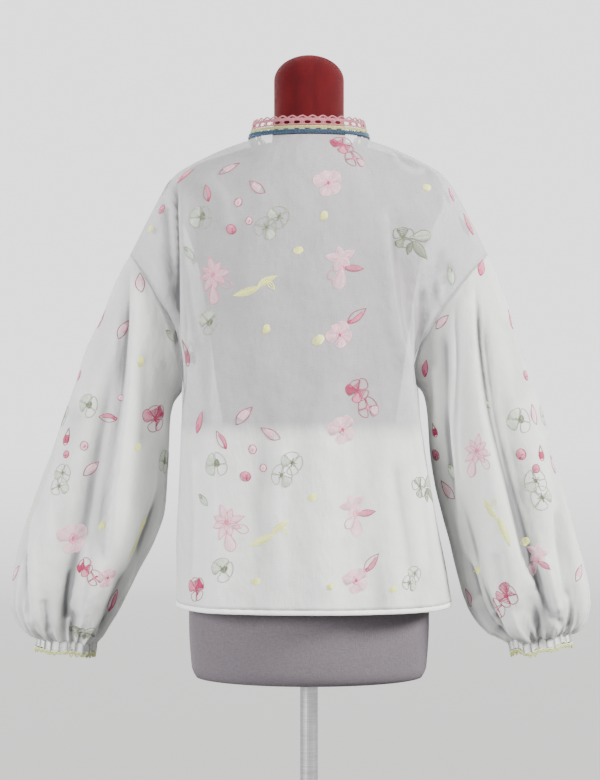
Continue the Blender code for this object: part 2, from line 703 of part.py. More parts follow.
def cut_wall(name, grid, solid):
    """A wall between two grids of points that leaves out the cells that are not solid."""
    rows, columns = grid.shape[1:3]
    points = grid.reshape(-1, 3)

    def at(layer, row, column):
        return (layer * rows + row) * columns + column

    faces = []
    for (row, column), full in solid.items():
        if not full:
            continue
        for layer in (0, 1):
            low = at(layer, row, column), at(layer, row, column + 1)
            high = at(layer, row + 1, column + 1), at(layer, row + 1, column)
            faces.append(low + high)
        sides = (
            ((row - 1, column), (row, column), (row, column + 1)),
            ((row + 1, column), (row + 1, column), (row + 1, column + 1)),
            ((row, column - 1), (row, column), (row + 1, column)),
            ((row, column + 1), (row, column + 1), (row + 1, column + 1)),
        )
        for beyond, start, end in sides:
            if not solid.get(beyond, False):
                faces.append((at(0, *start), at(0, *end), at(1, *end), at(1, *start)))
    used = sorted({i for face in faces for i in face})
    place = {old: new for new, old in enumerate(used)}
    return closed_mesh(name, points[used], [tuple(place[i] for i in face) for face in faces])


def build_trim(base, normals, group, finishes):
    """The three crocheted rows round the neck, one piece of each for the back and one for the front."""
    for face, word in ((BACK, "back"), (FRONT, "front")):
        panel = base[face][-1], base[face][-2], normals[face][-1]
        rim = neck_rim(face, *panel, CELLS_PER_COLUMN)
        build_braid(f"neck_braid_{word}", rim, BRAID, group, finishes["teal"], seated=True)
        build_braid(f"neck_band_{word}", rim, BAND, group, finishes["cream"], seated=False)
        rim = neck_rim(face, *panel, CELLS_PER_COLUMN * LACE_COLUMNS)
        build_lace(f"neck_lace_{word}", rim, group, finishes["pink"])


def torso_ring(half, back, front, height):
    angle = np.arange(TORSO_POINTS) * 2 * pi / TORSO_POINTS
    depth = np.where(np.cos(angle) > 0, back, front)
    return np.stack([half * np.sin(angle), -depth * np.cos(angle), np.full(TORSO_POINTS, height)], axis=1)


def turned(name, profile, group, finish):
    """A solid of revolution about +Z from (radius, height) points, top to bottom, by a Screw modifier."""
    mesh = bpy.data.meshes.new(name)
    mesh.from_pydata([(r, 0, z) for r, z in profile], [(i, i + 1) for i in range(len(profile) - 1)], [])
    thing = add_object(name, mesh, group, finish)
    screw = thing.modifiers.new("turn", "SCREW")
    screw.steps = screw.render_steps = ROUND_STEPS
    screw.use_merge_vertices = True
    screw.merge_threshold = MERGE_DISTANCE
    screw.use_smooth_shade = True
    return thing


def build_form(group, finishes):
    """The limbless dress form: torso, domed neck, pole and round base, a seam gap apart."""
    rings = [torso_ring(half, back, front, z) for z, half, back, front in TORSO_SECTIONS]
    add_object("form_torso", loft("form_torso", rings), group, finishes["linen"])
    rise = NECK_TOP_Z - NECK_SIDE_Z
    dome = [(NECK_RADIUS * sin(a), NECK_SIDE_Z + rise * cos(a)) for a in np.linspace(0, pi / 2, DOME_POINTS)]
    neck = [(NECK_RADIUS, NECK_WAIST_Z), (NECK_FOOT_RADIUS, NECK_FOOT_Z), (0.0, NECK_FOOT_Z)]
    turned("form_neck", dome + neck, group, finishes["velvet"])
    top = TORSO_SECTIONS[0][0] - SEAM_GAP
    foot = BASE_HUB_HEIGHT + SEAM_GAP
    pole = [
        (0.0, top),
        (FLANGE_RADIUS, top),
        (FLANGE_RADIUS, top - FLANGE_THICK),
        (POLE_RADIUS, top - FLANGE_THICK - FLANGE_CONE),
        (POLE_RADIUS, foot),
        (0.0, foot),
    ]
    turned("form_pole", pole, group, finishes["steel"])
    base = [
        (0.0, BASE_HUB_HEIGHT),
        (BASE_HUB_TOP_RADIUS, BASE_HUB_HEIGHT),
        (BASE_HUB_RADIUS, BASE_THICK + FLANGE_CONE),
        (BASE_HUB_FOOT_RADIUS, BASE_THICK),
        (BASE_RADIUS - BASE_EDGE_WIDTH, BASE_THICK - BASE_EDGE_DROP),
        (BASE_RADIUS, BASE_THICK - BASE_EDGE_WIDTH),
        (BASE_RADIUS, 0.0),
        (0.0, 0.0),
    ]
    turned("form_base", base, group, finishes["steel"])


def main():
    clear_scene()
    group = collection_of("balloon_sleeve_blouse")
    finishes = {
        "cotton": material("cotton", COTTON),
        "teal": material("teal_yarn", TEAL),
        "cream": material("cream_yarn", CREAM),
        "pink": material("pink_yarn", PINK),
        "green_yellow": material("green_yellow_yarn", GREEN_YELLOW),
        "linen": material("form_linen", GREY_LINEN),
        "velvet": material("form_velvet", RED_VELVET),
        "steel": material("form_steel", STEEL, metallic=1.0),
    }
    base, normals = build_blouse(group, finishes)
    build_trim(base, normals, group, finishes)
    build_form(group, finishes)


main()
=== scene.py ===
"""The looks of a balloon sleeve blouse on a dress form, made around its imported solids.

Metres, +Z up, in the solids' own frame: the back of the blouse faces -Y and the camera looks along +Y.
"""
from math import asin, cos, pi, radians, sin

import bmesh
import bpy
import numpy as np
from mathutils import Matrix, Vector
from mathutils.bvhtree import BVHTree


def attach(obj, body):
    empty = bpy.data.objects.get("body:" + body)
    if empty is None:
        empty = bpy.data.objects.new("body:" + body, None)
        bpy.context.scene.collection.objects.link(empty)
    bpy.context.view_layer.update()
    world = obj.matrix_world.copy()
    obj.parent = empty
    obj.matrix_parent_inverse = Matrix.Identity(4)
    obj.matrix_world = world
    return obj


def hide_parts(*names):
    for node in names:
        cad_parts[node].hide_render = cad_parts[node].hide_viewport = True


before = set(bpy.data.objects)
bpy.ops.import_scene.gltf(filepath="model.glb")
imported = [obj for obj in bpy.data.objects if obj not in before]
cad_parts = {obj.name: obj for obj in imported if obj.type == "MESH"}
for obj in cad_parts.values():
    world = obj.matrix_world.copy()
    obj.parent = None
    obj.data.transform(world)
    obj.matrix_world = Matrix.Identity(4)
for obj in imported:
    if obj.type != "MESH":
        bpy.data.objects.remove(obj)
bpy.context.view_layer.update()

# Camera: it stands level with the middle of the blouse's back
CAMERA = (-0.0126, -2.6, 1.02)
LENS = 85.7

# Sides, and their words in the names of pieces
LEFT, RIGHT = -1, 1
BACK, FRONT = -1, 1
SIDE_WORDS = {LEFT: "left", RIGHT: "right"}
FACE_WORDS = {BACK: "back", FRONT: "front"}

# Cloth, as in the solids
SHEET = 0.0006
HEM_Z = 0.729
NECK_SHARE = 0.34
UNDERARM_Z = {LEFT: 1.017, RIGHT: 1.032}
BODY_SECTIONS = (
    # height, left, right, back, front
    (0.729, 0.184, 0.198, 0.151, 0.163), (0.8, 0.184, 0.186, 0.145, 0.161),
    (0.87, 0.182, 0.168, 0.138, 0.159), (0.945, 0.179, 0.152, 0.132, 0.157),
    (1.024, 0.178, 0.146, 0.128, 0.154),
)
SECTION_ROUNDNESS = {BACK: 2.7, FRONT: 2.3}
SHOULDER_LINE = (
    # share, out from the middle, height
    (0.34, 0.0835, 1.37), (0.5, 0.12, 1.357), (0.65, 0.16, 1.338), (0.74, 0.186, 1.322),
    (0.8, 0.201, 1.304), (0.87, 0.215, 1.279), (0.94, 0.233, 1.244), (1.0, 0.25, 1.21),
)
NECK_DEPTH = {BACK: 0.084, FRONT: 0.040}
NECK_DROP = {BACK: 0.003, FRONT: 0.0}
NECK_CUT = {BACK: 0.0, FRONT: 0.070}
ARMHOLE_REACH = (
    # share of the way up from the underarm, reach
    (0.0, 0.0), (0.05, 0.019), (0.15, 0.034), (0.3, 0.045), (0.5, 0.054), (0.7, 0.062), (1.0, 0.066),
)
SHOULDER_TURN = 7.0
NECK_TURN = {BACK: 7.0, FRONT: 3.5}
NECKLINE_POWER = 1.6
RIDGE_ROUNDNESS = 0.75
RIDGE_ZONE = (0.1, 0.4)
ARM_LEAN = {LEFT: 2.2, RIGHT: 1.7}
SIDE_ZONE = 0.55
ROW_BUNCHING = 0.6
BODY_FOLDS = {
    # x at the top, x at the foot, top height, foot height, width, depth
    BACK: (
        (-0.19, -0.186, 1.3, 0.96, 0.012, -0.01), (0.1, 0.18, 1.26, 0.74, 0.012, 0.009),
        (0.126, 0.196, 1.24, 0.76, 0.012, -0.007), (-0.12, -0.128, 1.18, 0.729, 0.022, 0.006),
        (-0.06, -0.075, 1.06, 0.729, 0.024, -0.005), (0.02, 0.03, 1.04, 0.729, 0.026, 0.005),
        (0.078, 0.095, 1.12, 0.729, 0.02, -0.006),
    ),
    FRONT: (
        (-0.15, -0.16, 1.24, 0.74, 0.014, -0.008), (-0.09, -0.105, 1.15, 0.729, 0.022, 0.006),
        (-0.03, -0.04, 1.08, 0.729, 0.022, -0.005), (0.035, 0.045, 1.1, 0.729, 0.024, 0.006),
        (0.095, 0.105, 1.13, 0.729, 0.02, -0.006), (0.14, 0.155, 1.23, 0.74, 0.014, 0.007),
    ),
}
FOLD_FADE_IN = 0.35
FOLD_FADE_OUT = 0.30
SLEEVE_RINGS = {
    # outer x, outer height, inner x, inner height, half depth
    LEFT: (
        (-0.266, 1.181, -0.19, 1.001, 0.066), (-0.29, 1.124, -0.194, 0.98, 0.071),
        (-0.316, 1.058, -0.195, 0.953, 0.074), (-0.342, 0.986, -0.197, 0.921, 0.077),
        (-0.365, 0.92, -0.198, 0.886, 0.08), (-0.386, 0.862, -0.201, 0.85, 0.083),
        (-0.404, 0.806, -0.216, 0.806, 0.084), (-0.415, 0.756, -0.238, 0.764, 0.081),
        (-0.417, 0.722, -0.256, 0.732, 0.072), (-0.408, 0.697, -0.272, 0.703, 0.058),
        (-0.396, 0.683, -0.286, 0.682, 0.043), (-0.382, 0.675, -0.297, 0.667, 0.031),
    ),
    RIGHT: (
        (0.264, 1.176, 0.16, 1.014, 0.066), (0.284, 1.122, 0.165, 0.99, 0.071),
        (0.304, 1.058, 0.167, 0.96, 0.074), (0.324, 0.986, 0.17, 0.924, 0.077),
        (0.342, 0.924, 0.176, 0.886, 0.08), (0.36, 0.866, 0.186, 0.846, 0.083),
        (0.376, 0.806, 0.198, 0.8, 0.084), (0.388, 0.752, 0.209, 0.754, 0.082),
        (0.391, 0.722, 0.224, 0.716, 0.074), (0.386, 0.699, 0.244, 0.688, 0.06),
        (0.377, 0.686, 0.262, 0.674, 0.045), (0.366, 0.68, 0.279, 0.666, 0.032),
    ),
}
ARMHOLE_BLEND_RINGS = 3
ARMHOLE_BLEND_POWER = 1.5
ARMHOLE_HALF_DEPTH = 0.055
SLEEVE_FOLDS = {
    # angle at the top, angle at the foot, first ring, last ring, width in degrees, depth
    LEFT: (
        (62, 108, 0.6, 12.0, 14, -0.014), (95, 132, 2.0, 12.0, 16, 0.01),
        (38, 66, 3.0, 12.0, 15, 0.006), (150, 156, 5.0, 12.0, 14, -0.011),
        (215, 208, 1.0, 12.0, 15, -0.011), (262, 255, 2.0, 12.0, 17, 0.01),
        (312, 300, 3.0, 12.0, 15, -0.01),
    ),
    RIGHT: (
        (60, 96, 1.0, 12.0, 14, -0.013), (92, 120, 2.0, 12.0, 15, 0.01),
        (30, 52, 5.0, 12.0, 14, -0.011), (140, 142, 1.5, 12.0, 14, -0.011),
        (205, 212, 1.0, 12.0, 15, -0.01), (255, 250, 2.0, 12.0, 17, 0.01),
        (305, 296, 3.0, 12.0, 15, -0.01),
    ),
}
FOLD_SOFTENING = 0.75
GATHER_REACH = 5.0
GATHER_DEPTH = 0.0030
GATHER_POWER = 1.3
GATHER_UNEVEN = 0.35
GATHER_WAVES = 24
CUFF_LENGTH = 0.012
CUFF_GATHER = 0.0016
HEM_HEIGHT = 0.006
SEAM_GAP = 0.0004

# How finely the cloth is drawn
SIDE_COLUMNS = 44
NECK_COLUMNS = 56
FINE_BELOW_ARM = 62
FINE_ABOVE_ARM = 90
FINE_SLEEVE_ROWS = 150
SLEEVE_MIDDLE_STEPS = 400

# How the cloth settles: shares of its width and height over which it does so
NECK_SIDE_REACH = 0.10
NECK_SIDE_ROUNDS = 40
BELOW_TOP_SHARE = 0.04
SIDE_SEAM_SHARE = 0.06
TOP_SEAM_SHARE = 1 / 40
SLEEVE_HEAD_RINGS = 0.6
SLEEVE_SIDE_BLEND = 0.12

# Slight unevenness of hanging cotton
RIPPLE = 0.0014
RIPPLE_WAVES = 14
RIPPLE_WAYS = (1.0, 0.8, 0.45)
RIPPLE_LENGTHS = (0.030, 0.090)
PANEL_SEED = 11
SLEEVE_SEED = 31

# The gathers wander round the wrist: size and waves of each wander, and how far they fan up
GATHER_DRIFT = ((0.9, 3), (0.5, 7))
GATHER_SECOND = 0.35
GATHER_FAN = (0.95, 0.3, 0.2)
GATHER_FAN_WAVES = (5, 11)
CUFF_RUN_IN = 0.8

# What counts as a trough or a ridge: rounds of sharing out, depth, and weight in the mark on the cloth that
# sets painted shade in troughs and painted highlight on ridges
FINE_REACH, FINE_DEPTH, FINE_WEIGHT = 9, 0.0011, 0.28
BROAD_REACH, BROAD_DEPTH, BROAD_WEIGHT = 70, 0.0030, 0.22

# Cuffs, their edging and the hem
CUFF_ROWS = 9
CUFF_DRAWN = 0.0007
CUFF_STITCH_ROWS = (0.30, 0.72)
CUFF_STITCH_REACH = 0.13
EDGE_PICOTS = 30
EDGE_STEPS = 12
EDGE_SMOOTHING = 6
EDGE_SEED = 5
EDGE_ROWS = (
    # depth below the cuff, radius, finish
    (0.0016, 0.0013, 0),
    (0.0038, 0.0012, 1),
)
EDGE_TURN = 900
EDGE_BOB = 0.0004
PICOT_UNEVEN = (0.1, 1.7)
PICOT_DROP = (0.0044, 0.0008, 0.0018)
PICOT_RADIUS = 0.00095
HEM_THICK = 0.0028
HEM_INSET = 0.30
HEM_FULLNESS = 1.02
HEM_FLATNESS = 2.45
HEM_WAVES = 30
HEM_WAVE = 0.00035

# Neck trim: heights above the neckline, radii of its cords, and depths out from its middle
SIDES = 0
NECK_LEAN = {BACK: radians(12), SIDES: radians(14), FRONT: radians(15)}
RIM_ROUNDS = 3
EYELETS = 40
BRAID_STITCHES = 92
STRAND_POINTS = 10
BRAID_HEIGHT = 0.0040
STRAND_RISE, STRAND_DEPTH, STRAND_SWING, STRAND_RADIUS = 0.0026, 0.0006, 0.0014, 0.00105
CORE_DEPTH, CORE_RADIUS = -0.0012, 0.0019
BAND_HEIGHT = 0.0104
BAND_POINTS = 400
BAND_CORDS = (
    # height from the band's middle, radius
    (0.0011, 0.00125),
    (-0.0009, 0.0009),
)
BAR_REACH, BAR_DROP, BAR_DEPTH, BAR_RADIUS = 0.26, 0.0028, 0.0002, 0.00115
SLANT_REACH, SLANT_FOOT, SLANT_TOP, SLANT_DEPTH, SLANT_RADIUS = 0.62, -0.0016, 0.0019, 0.0007, 0.00085
LACE_FOOT = 0.0142
EYELET_TOP = 0.0204
LACE_POINTS = 480
LACE_CORD_RADIUS = 0.0010
POST_SPREAD, POST_DEPTH, POST_RADIUS = 0.17 * 0.9, 0.0003, 0.00085
EYELET_WIDE, EYELET_DEPTH, EYELET_RADIUS, EYELET_POINTS = 0.36, 0.0004, 0.00065, 14
LOOP_REACH, LOOP_FOOT, LOOP_TOP, LOOP_DEPTH, LOOP_RADIUS = (-0.1, 0.75), 0.0002, 0.0030, 0.0006, 0.00080
LACE_BAND_RISE, LACE_BAND_DEPTH, LACE_BAND_RADIUS = 0.0016, -0.0002, 0.00125
SCALLOP_FOOT, SCALLOP_RISE, SCALLOP_POWER, SCALLOP_RADIUS = 0.0030, 0.0036 * 0.85, 1.4, 0.00105
SCALLOP_POINTS = 16

# Creases laid over the long folds: width, depth, skew, then points (x, height) as the camera sees them in
# the plane of the form's middle. Skew 1 drops sharply to the left, -1 to the right. Lengths in millimetres.
BODY_CREASES = {
    BACK: (
        (10, 6.5, 0.75, -184, 1314, -182, 1230, -181, 1146, -178, 1062),
        (6, -4.5, 0, -205, 1300, -203, 1220, -196, 1150, -190, 1090),
        (6, -3, 0.4, -246, 1208, -222, 1172, -200, 1132),
        (5, 2.2, 0, -238, 1222, -214, 1190, -198, 1160),
        (8, 4.2, -0.7, 108, 1290, 113, 1200, 121, 1110, 134, 1050),
        (10, -3, 0, 128, 1280, 130, 1190, 140, 1090),
        (5, 3.6, -0.5, 146, 1150, 151, 1095, 148, 1050),
        (6, -4.4, 0, 160, 1170, 161, 1110, 160, 1060),
        (5, 3.4, 0.4, 176, 1190, 188, 1120, 190, 1070),
        (7, -3.6, 0, 194, 1210, 202, 1140, 205, 1080),
        (4.8, 5.2, 0.4, 111, 1356, 122, 1338, 139, 1326, 153, 1322, 161, 1334),
        (6, -2, 0, 118, 1360, 132, 1344, 150, 1338),
        (16, -2.2, 0.3, -120, 1180, -124, 1000, -116, 820),
        (14, 2, -0.3, -30, 960, -40, 840, -34, 740),
        (13, -2.2, 0.2, 60, 1060, 70, 900, 78, 740),
        (9, 3, -0.4, 134, 960, 150, 860, 166, 750),
        (8, -2.8, 0, 120, 930, 134, 840, 148, 750),
        (9, 2.6, 0.4, -160, 940, -156, 840, -160, 740),
        (5.6, -13.5, 0, -189, 1322, -188, 1215, -187, 1110, -184, 990),
        (4.5, -3.6, 0, 117, 1250, 123, 1160, 134, 1070),
        (10, 1.8, 0, -150, 1322, -120, 1290, -110, 1240),
    ),
    FRONT: (
        (8, 5.2, 0.5, -196, 1270, -188, 1180, -176, 1090, -172, 1010),
        (7, -4, 0, -182, 1240, -172, 1150, -160, 1060),
        (12, -3, 0.2, -130, 1300, -118, 1190, -112, 1080, -120, 960),
        (12, 3, -0.4, -60, 1200, -66, 1060, -52, 900, -60, 740),
        (13, -2.8, 0, 0, 1100, 10, 980, 0, 860, 8, 740),
        (10, 3.6, 0.5, 84, 1260, 92, 1120, 86, 960, 94, 760),
        (9, -3.6, 0, 122, 1280, 124, 1170, 130, 1070),
        (7, 4, -0.5, 150, 1250, 148, 1150, 146, 1060),
        (7, -3.6, 0, 190, 1230, 178, 1150, 164, 1080),
        (6, -2.2, 0, -100, 1345, -86, 1315, -60, 1296),
        (6, -2.2, 0, 100, 1345, 82, 1310, 52, 1290),
        (9, 3, -0.3, 140, 960, 152, 850, 166, 750),
        (9, 2.8, 0.3, -156, 930, -150, 840, -158, 740),
    ),
}
# The sleeves' creases: the back half of each, then the front half
SLEEVE_CREASES = {
    LEFT: {
        BACK: (
            (11, 6.8, 0.75, -247, 1196, -251, 1130, -256, 1020, -265, 950, -276, 866, -287, 754),
            (3.5, -5, 0, -250, 1190, -254, 1120, -259, 1020, -268, 950, -280, 866, -291, 760),
            (8, -5.2, 0.2, -256, 1170, -262, 1090, -268, 1000, -278, 930, -290, 850, -298, 770),
            (6, 5, 0.6, -379, 858, -386, 793, -386, 726, -384, 690),
            (5, -6, 0, -395, 800, -394, 740, -389, 700),
            (5, -4, 0, -372, 730, -368, 700, -364, 680),
            (6, -5.5, 0, -205, 900, -229, 785, -245, 740, -271, 708),
            (10, 4.4, -0.4, -214, 960, -222, 880, -246, 800, -262, 750),
            (14, -3.4, 0.3, -320, 1020, -336, 940, -346, 860, -352, 780),
            (12, 2.6, 0, -300, 1120, -312, 1050, -322, 980),
            (8, 4, -0.4, -310, 820, -318, 750, -322, 700),
            (6, -4.2, 0, -334, 770, -338, 720, -338, 690),
            (9, -2.8, 0, -230, 1080, -232, 1010, -236, 930),
        ),
        FRONT: (
            (10, 6, -0.6, -236, 1170, -244, 1080, -250, 980, -262, 880, -280, 770),
            (9, -5, 0, -262, 1150, -274, 1040, -286, 930, -300, 820),
            (13, 3.6, 0.3, -300, 1100, -322, 1000, -340, 900, -352, 790),
            (8, -4.6, 0, -216, 940, -232, 840, -254, 750),
            (7, -5, 0.2, -372, 860, -384, 780, -380, 710),
            (7, 4.2, -0.3, -320, 830, -326, 760, -330, 700),
        ),
    },
    RIGHT: {
        BACK: (
            (11, 6.4, -0.75, 230, 1177, 231, 1111, 242, 1006, 259, 926, 277, 860, 294, 793, 321, 740,
             350, 690),
            (3.5, -5, 0, 235, 1170, 237, 1105, 248, 1004, 265, 924, 283, 858, 300, 790, 327, 736),
            (3, -3.4, 0, 206, 1150, 209, 1060, 206, 960, 205, 880),
            (9, -5.8, -0.2, 244, 1150, 250, 1070, 260, 990, 278, 910, 296, 840, 314, 780, 338, 722),
            (7, 4, 0.6, 200, 1150, 203, 1060, 200, 980, 199, 914, 206, 835, 216, 792, 230, 765, 245, 722),
            (6, -5, 0, 190, 1110, 191, 1040, 189, 960, 190, 880),
            (5, 3.6, 0, 176, 1060, 178, 1000, 176, 930),
            (7, -5.6, 0, 256, 705, 272, 678, 298, 660),
            (6, -5.2, -0.3, 315, 753, 339, 712, 358, 686),
            (7, 4.4, 0.3, 224, 729, 240, 700, 262, 676),
            (14, 3, 0, 310, 1040, 322, 960, 334, 880, 350, 800),
            (8, -4.4, 0.2, 344, 860, 358, 780, 366, 720),
            (12, -2.8, 0, 282, 1130, 292, 1060, 300, 990),
            (6, 4, 0, 330, 790, 344, 740, 352, 705),
            (9, -3.6, 0, 262, 800, 274, 750, 292, 700),
        ),
        FRONT: (
            (10, 6, 0.6, 216, 1170, 222, 1080, 232, 980, 250, 880, 276, 780),
            (9, -5, 0, 246, 1150, 258, 1050, 272, 950, 292, 840),
            (8, -4.6, 0, 196, 1060, 200, 960, 206, 860, 222, 760),
            (13, 3.6, -0.3, 288, 1080, 306, 980, 322, 880, 338, 780),
            (7, -4.8, 0, 344, 850, 356, 770, 354, 710),
            (7, 4.2, 0.3, 284, 820, 296, 750, 306, 700),
        ),
    },
}
CREASE_STEPS = 40
CREASE_FADE = 0.16

# Embroidery: thread colours, red, green and blue as they show on the cloth
THREADS = {
    "hot": (172, 0, 80),
    "rose": (148, 24, 70),
    "pink": (212, 118, 148),
    "blush": (234, 188, 200),
    "sage": (138, 148, 124),
    "moss": (94, 104, 74),
    "mist": (196, 204, 188),
    "lemon": (230, 234, 140),
}
THREAD_KINDS = list(THREADS)
THREAD_SINK = 0.00025
THREAD_HEIGHT = 0.00045
THREAD_WIDTH = 0.0013
THREAD_UNEVEN = 0.16
SATIN_WIDTH = 0.0015
SATIN_STEP = 0.0013
SATIN_SLANT = 0.0012
SATIN_INSET = 0.06
SPOT_STEP = 0.0012
SPOT_LEAN = 0.0006
VEIN_SHARE = 0.8
PETAL_POINTS = 16
PETAL_FOOT = (0.0, -0.0155)
POINTED_PETAL = 0.85
ROUND_PETAL = (1.7, 0.62)
RING_POINTS = 14
SPOT_BLUNTNESS = 0.15
# The whole of a petal, of a star's petal, and how petals differ: a share, its change, and how fast it changes
FULL_PART = (0.08, 0.95)
STAR_PART = (0.15, 0.85)
FLOWER_LENGTHS = (0.90, 0.10, 2.3)
FLOWER_WIDTHS = (0.80, 0.10, 1.9)
FLOWER_TURNS = (7, 3.1)
FLOWER_CURLS = (0.12, 1.3)
FLOWER_FOOT = 0.12
STAR_LENGTHS = (0.16, 2.1)
STAR_TURNS = (9, 3.1)
CENTRE_SIZE = (0.15, 0.17)
CENTRE_TURN = 12
CENTRE_REACH = 0.40
NEAR_CLOTH = 0.03
FLATTEST_STITCH = 0.1
# Motifs: kind, x, height, turn in degrees, and size, with 1 as drawn. Places are in millimetres, as the
# camera sees them. One repeat on the body comes first.
BODY_REPEAT = (
    ("petal_full", -174, 1321, -24, 1), ("petal_half", -143, 1296, 22, 0.9),
    ("petal_line", -113, 1331, -42, 1), ("petal_line", -74, 1303, 62, 0.95),
    ("bud_ring", -99, 1283, 0, 1), ("bud_ring", -84, 1257, 10, 0.85),
    ("bud_full", -109, 1245, 60, 1.05), ("sage_flower", -151, 1262, 20, 1),
    ("sage_pair", -52, 1255, -10, 1), ("sage_leaf", -168, 1212, 10, 0.85),
    ("blush_pair", -133, 1174, 12, 1.15), ("lemon_twig", -70, 1165, 12, 1.05),
    ("lemon_spot", -15, 1216, 0, 1), ("sage_flower", -141, 1115, -30, 0.95),
    ("bud_long", -172, 1072, 4, 1.1), ("hot_pair", 54, 1356, 0, 1.05),
    ("blush_flower", 27, 1310, 15, 1.05), ("blush_spray", 47, 1188, -8, 1.1),
    ("petal_half", 67, 1124, -52, 1.05), ("blush_flower", 43, 1097, 40, 0.95),
    ("sage_cluster", 145, 1226, 0, 1.15), ("lemon_spot", 13, 1090, 20, 1.3),
    ("lemon_spot", -60, 1105, 60, 1),
)
# From one repeat to the next
REPEAT_STEP = (0.020, -0.346)
REPEAT_TURN = 9
REPEATS = range(-1, 3)
REPEAT_TOP = 1.375
SECOND_TOP = 1.02
REPEAT_FOOT = HEM_Z + 0.03
# Motifs between the repeats, over the shoulders and along the hem
BODY_SINGLES = (
    ("petal_line", -203, 1304, 6, 0.8), ("bud_full", -206, 1273, -20, 0.95),
    ("lemon_spot", -222, 1246, 0, 1), ("petal_full", 199, 1294, -6, 0.7),
    ("petal_full", 223, 1252, 14, 1.05), ("sage_leaf", 199, 1180, -16, 1),
    ("lemon_spot", 165, 1304, 10, 1.1), ("lemon_spot", 21, 1264, 60, 1),
    ("hot_flower", -158, 741, 0, 0.92), ("blush_flower", 66, 753, 20, 0.95),
    ("sage_pair", 144, 756, 0, 0.7), ("lemon_spot", -74, 752, 0, 0.9), ("lemon_spot", 30, 745, 30, 0.8),
    ("lemon_spot", 118, 741, 0, 0.8),
)
SLEEVE_MOTIFS = {
    LEFT: (
        ("petal_line", -238, 1170, 14, 1), ("sage_leaf", -192, 1096, 20, 0.9),
        ("hot_flower", -215, 980, 0, 1.05), ("sage_flower", -203, 920, 10, 1),
        ("sage_flower", -310, 999, -10, 0.95), ("petal_half", -282, 981, 84, 1),
        ("bud_ring", -263, 1009, 90, 0.8), ("bud_long", -339, 955, 0, 0.75),
        ("bud_ring", -315, 942, 0, 1.05), ("bud_full", -340, 930, 0, 0.75),
        ("petal_line", -305, 911, -44, 0.95), ("sage_pair", -348, 894, 30, 0.85),
        ("blush_flower", -330, 812, 10, 1.2), ("hot_pair", -309, 766, 24, 0.8),
        ("blush_flower", -282, 757, 0, 0.8), ("petal_half", -275, 726, 0, 1.15),
        ("petal_full", -196, 888, 4, 1.1), ("bud_full", -201, 848, 10, 0.9),
        ("sage_cluster", -313, 678, 0, 0.8), ("lemon_twig", -236, 820, 70, 1),
        ("lemon_spot", -240, 940, 20, 1), ("lemon_spot", -290, 830, 50, 0.9),
        ("petal_line", -262, 1105, -20, 0.9), ("lemon_spot", -236, 1060, 70, 1.1),
    ),
    RIGHT: (
        ("petal_full", 241, 1192, -26, 0.95), ("sage_leaf", 229, 1186, 20, 0.8),
        ("petal_line", 185, 1116, -34, 0.8), ("petal_full", 162, 1050, -12, 0.8),
        ("sage_flower", 295, 978, 12, 1.05), ("petal_line", 314, 985, 12, 0.9),
        ("sage_leaf", 250, 1000, 24, 0.6), ("bud_ring", 157, 977, 0, 1),
        ("bud_long", 175, 964, 14, 0.6), ("bud_full", 177, 929, 45, 1.15),
        ("petal_line", 172, 896, -14, 0.75), ("petal_line", 193, 878, 50, 1),
        ("sage_leaf", 200, 907, 4, 0.9), ("blush_pair", 234, 928, -8, 1.1),
        ("lemon_twig", 262, 842, 110, 1.2), ("lemon_spot", 302, 808, 0, 1.2),
        ("lemon_spot", 234, 767, 20, 1.1), ("bud_full", 297, 930, 20, 1.1),
        ("bud_full", 318, 910, 0, 0.85), ("bud_long", 325, 932, 0, 0.65),
        ("petal_line", 341, 915, 14, 0.8), ("sage_pair", 322, 880, 60, 1.1),
        ("blush_spray", 318, 778, -30, 0.95), ("hot_pair", 270, 724, -66, 1.1),
        ("petal_line", 224, 729, 24, 0.8),
    ),
}
# On the outer side of both sleeves, with y in the place of x
OUTER_MOTIFS = (
    ("petal_full", -20, 1118, 10, 0.9), ("blush_flower", 12, 1075, 0, 1), ("bud_full", -30, 1040, 0, 1),
    ("sage_flower", -16, 984, 20, 0.95), ("petal_full", 26, 930, 30, 1), ("lemon_twig", -4, 856, 80, 1),
    ("hot_flower", 18, 790, 0, 0.9), ("petal_line", -34, 768, -30, 0.9),
)
# The hidden side repeats the shown one, a little closer to the middle
HIDDEN_SHRINK = 0.985
FAR = 3.0

# Dress form
TORSO_SECTIONS = (
    # height, half width, back, front
    (0.62, 0.158, 0.1, 0.096), (0.632, 0.164, 0.108, 0.102), (0.7, 0.168, 0.116, 0.106),
    (0.78, 0.168, 0.119, 0.106), (0.86, 0.15, 0.104, 0.1), (0.96, 0.121, 0.08, 0.088),
    (1.04, 0.131, 0.086, 0.11), (1.12, 0.142, 0.098, 0.136), (1.19, 0.154, 0.104, 0.116),
    (1.245, 0.172, 0.102, 0.096), (1.282, 0.188, 0.084, 0.078), (1.304, 0.187, 0.07, 0.066),
    (1.322, 0.177, 0.056, 0.054), (1.338, 0.151, 0.055, 0.051), (1.35, 0.112, 0.055, 0.051),
    (1.362, 0.07, 0.054, 0.054),
)
TORSO_ROWS = 120
TORSO_AROUND = 128
NECK_PROFILE = (
    # radius, height
    (0.0520, 1.3624), (0.0518, 1.3660), (0.0490, 1.4000), (0.0490, 1.4520),
)
NECK_TOP_Z = 1.488
NECK_TOP_RADIUS = 0.0012
NECK_ROWS = 50
DOME_ROWS = 26
NECK_AROUND = 96
NECK_SEAM_DEPTH = 0.0009
NECK_SEAM_TURN = 0.11
NECK_SEAM_WIDTH = 0.055
NECK_SEAM_END = 0.02

